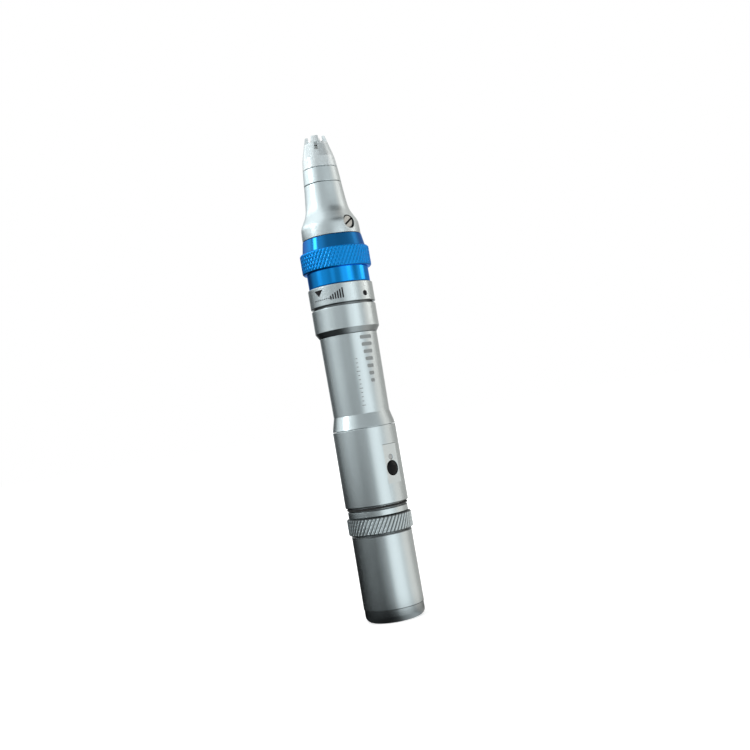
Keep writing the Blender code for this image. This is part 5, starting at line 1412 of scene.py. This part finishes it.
class PEN_OT_stage(bpy.types.Operator):
    """Floor, lights, world and camera"""

    bl_idname = "pen.stage"
    bl_label = "Stage"

    def execute(self, context):
        scene = context.scene
        scene.view_settings.view_transform = "Standard"
        self.camera(scene)
        self.world(scene)
        self.floor()
        self.lamps()
        return {"FINISHED"}

    @staticmethod
    def camera(scene):
        """Camera at the photograph's place: level with the middle of the pen, turned and rolled so that
        the pen leans to the left in the frame."""
        side = math.radians(CAMERA_SIDE)
        right = Vector((math.cos(side), math.sin(side), 0))
        back = Vector((math.sin(side), -math.cos(side), 0))
        pose = Matrix((right, Vector((0, 0, 1)), back)).transposed().to_4x4()
        for axis, angle in CAMERA_TURNS:
            pose = pose @ Matrix.Rotation(math.radians(angle), 4, axis)
        pose.translation = back * CAMERA_DISTANCE + Vector((0, 0, CAMERA_HEIGHT))
        data = bpy.data.cameras.new("camera")
        data.lens = CAMERA_LENS
        data.sensor_width = 36.0
        camera = bpy.data.objects.new("camera", data)
        camera.matrix_world = pose
        scene.collection.objects.link(camera)
        scene.camera = camera

    @staticmethod
    def studio(side, lift):
        """Brightness of the studio in a direction: side is the angle from the camera, to its right, and
        lift the angle above the level, both in degrees. Panels and gaps are soft windows in both.

        Level light comes from a dim panel on the left, and a strip and two panels on the right, with a
        low bright strip in the first of them. It darkens far to the left, a little at the height that
        the barrel mirrors, and a set of narrow panels lights the depth ring's band. Above the level
        stands a wide panel on the left, with a narrow bright strip in front of it, a soft one further
        round and a third on the right, all three only as high as the ring's slope mirrors. Overhead on
        the right it is dark, and behind the pen a weak light fills in."""
        far_left = side.window(-160, -115, 18)
        behind = side.window(162, 400, 12) + side.window(-400, -164, 10)
        level = 0.46 + windows(side, LEVEL_PANELS) + windows(side, [LOW_STRIP]) * (1.0 - lift.rise(-4, 2))
        level = level * (1.0 - far_left * 0.75)
        barrel = side.window(46, 72, 7) + side.window(-14, 14, 4) * 0.35
        level = level * (1.0 - barrel * lift.window(0.6, 4.6, 0.8) * 0.26)
        level = level + windows(side, RING_PANELS) * lift.window(7.5, 11, 0.6)
        raised = 0.60 + (side.rise(-164, -116) - side.rise(-52, -16)) * 0.66 + windows(side, HIGH_PANELS)
        raised = raised + windows(side, BAND_PANELS) * lift.window(21, 31, 2)
        overhead = (lift.window(31, 60, 9) + lift.window(60, 86, 9) * 0.4) * side.window(12, 96, 16)
        return (level + (raised - level) * lift.rise(11, 17) + behind * 0.3) * (1.0 - overhead * 0.72)

    @staticmethod
    def panel_colour(nodes, side):
        """Cool light from the left and in front, and warmer light from the right."""
        cool, warm = (0.93, 0.99, 1.0, 1.0), (1.03, 1.0, 0.95, 1.0)
        return nodes.blend(side.window(74, 165, 14), cool, warm)

    def world(self, scene):
        """Mirrors see the studio's panels, the camera sees white, and the rest gets an even dim light."""
        world = scene.world or bpy.data.worlds.new("studio")
        scene.world = world
        nodes = Shading(world)
        x, y, z = nodes.split(nodes.node("ShaderNodeTexCoord", {}, {}, "Generated"))
        side = round_from_camera(x, y)
        light = self.studio(side, z.maths("ARCSINE") * (180 / math.pi))
        shown, glossy = nodes.rays()
        plain, white, panels = (
            nodes.node("ShaderNodeBackground", {}, {"Color": colour, "Strength": strength})
            for colour, strength in ((WHITE, 0.55), (WHITE, 1.0), (self.panel_colour(nodes, side), light)))
        first = nodes.node("ShaderNodeMixShader", {}, {0: glossy, 1: plain, 2: panels})
        seen = nodes.node("ShaderNodeMixShader", {}, {0: shown, 1: first, 2: white})
        nodes.node("ShaderNodeOutputWorld", {}, {"Surface": seen})

    def floor(self):
        """A round pale floor. Camera rays see it turn to the white of the background away from the pen,
        so its shadow stays and no horizon shows. Mirrors see it go on the studio's level light, with painted
        shade on the left and close to the pen, so the metal mirrors a dark surrounding and a contact shadow."""
        material, nodes = new_material("floor_pale")
        x, y, _ = nodes.split(nodes.place())
        distance = (x * x + y * y) ** 0.5
        side = round_from_camera(x, y)
        light = self.studio(side, distance * 0.0)
        # Painted shade for mirrors only: darker close to the pen and on the left
        close = 1.0 - distance.rise(0.018, 0.06)
        left = (1.0 - (side - close * 26).rise(-40, 22)) * (1.0 - side.rise(150, 175))
        left = left * (1.0 - distance.rise(0.35, 1.3)) * (0.35 + 0.65 * side.rise(-178, -140))
        light = light * (1.0 - left * 0.90) * (0.42 + 0.58 * distance.rise(0.020, 0.045))
        shown, glossy = nodes.rays()
        dull = nodes.node("ShaderNodeBsdfDiffuse", {}, {"Color": (0.86, 0.86, 0.86, 1)})
        lit, panels = (
            nodes.node("ShaderNodeEmission", {}, {"Color": colour, "Strength": strength}) for colour, strength in (
                (WHITE, shown * (0.58 + distance.rise(0.03, 0.3) * 0.42)), (self.panel_colour(nodes, side), light)))
        seen = nodes.node("ShaderNodeAddShader", {}, {0: dull, 1: lit})
        final = nodes.node("ShaderNodeMixShader", {}, {0: glossy, 1: seen, 2: panels})
        nodes.node("ShaderNodeOutputMaterial", {}, {"Surface": final})
        theta = angles(96)
        rings = np.concatenate([[0.02], np.geomspace(0.1, 12.0, 12)])[:, None]
        places = np.stack([rings * np.cos(theta), rings * np.sin(theta), 0 * rings * theta], axis=-1)
        form = Form()
        grid = form.add(places)
        form.sheet(grid)
        form.fan(grid[0], form.add(np.zeros((1, 3)))[0])
        mesh = bpy.data.meshes.new("floor")
        mesh.from_pydata(np.concatenate(form.points).tolist(), [],
                         [face.tolist() for block in form.faces for face in block])
        mesh.materials.append(material)
        floor = bpy.data.objects.new("floor", mesh)
        bpy.context.scene.collection.objects.link(floor)
        floor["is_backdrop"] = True

    @staticmethod
    def lamps():
        """Two soft area lamps for the plastics, the marks and the floor's shadow."""
        for name, turn, height, size, power in LAMPS:
            data = bpy.data.lights.new(name, "AREA")
            data.shape = "SQUARE"
            data.size = size
            data.energy = power
            lamp = bpy.data.objects.new(name, data)
            angle = math.radians(CAMERA_SIDE) + math.radians(turn)
            place = Vector((math.sin(angle) * LAMP_DISTANCE, -math.cos(angle) * LAMP_DISTANCE, height))
            lamp.location = place
            lamp.rotation_euler = (LAMP_AIM - place).to_track_quat("-Z", "Y").to_euler()
            lamp.visible_glossy = False
            bpy.context.scene.collection.objects.link(lamp)


OPERATORS = (
    PEN_OT_battery,
    PEN_OT_collar,
    PEN_OT_ferrule,
    PEN_OT_housing,
    PEN_OT_barrel,
    PEN_OT_marks,
    PEN_OT_depth_ring,
    PEN_OT_nose,
    PEN_OT_cartridge,
    PEN_OT_drive,
    PEN_OT_stage,
)


class PEN_PT_panel(bpy.types.Panel):
    """The pen's sizes, colours and building steps"""

    bl_label = "Microneedling pen"
    bl_idname = "PEN_PT_panel"
    bl_space_type = "VIEW_3D"
    bl_region_type = "UI"
    bl_category = "Pen"

    def draw(self, context):
        for group in (context.scene.pen_sizes, context.scene.pen_colours):
            for name in group.__annotations__:
                self.layout.prop(group, name)
        for operator in OPERATORS:
            self.layout.operator(operator.bl_idname)


CLASSES = (PenSizes, PenColours, *OPERATORS, PEN_PT_panel)


def register():
    """Makes the sizes, colours, operators and panel known to Blender."""
    for kind in CLASSES:
        bpy.utils.register_class(kind)
    bpy.types.Scene.pen_sizes = bpy.props.PointerProperty(type=PenSizes)
    bpy.types.Scene.pen_colours = bpy.props.PointerProperty(type=PenColours)


def unregister():
    """Takes them away again."""
    del bpy.types.Scene.pen_colours
    del bpy.types.Scene.pen_sizes
    for kind in reversed(CLASSES):
        bpy.utils.unregister_class(kind)


def plain(box):
    """A box as plain lists of numbers."""
    return [[float(value) for value in corner] for corner in box]


def main():
    """Builds the pen and its stage."""
    register()
    for operator in OPERATORS:
        group, name = operator.bl_idname.split(".")
        getattr(getattr(bpy.ops, group), name)()
    {"cad": plain(cad_box), "visual": plain(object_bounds())}


if __name__ == "__main__":
    main()
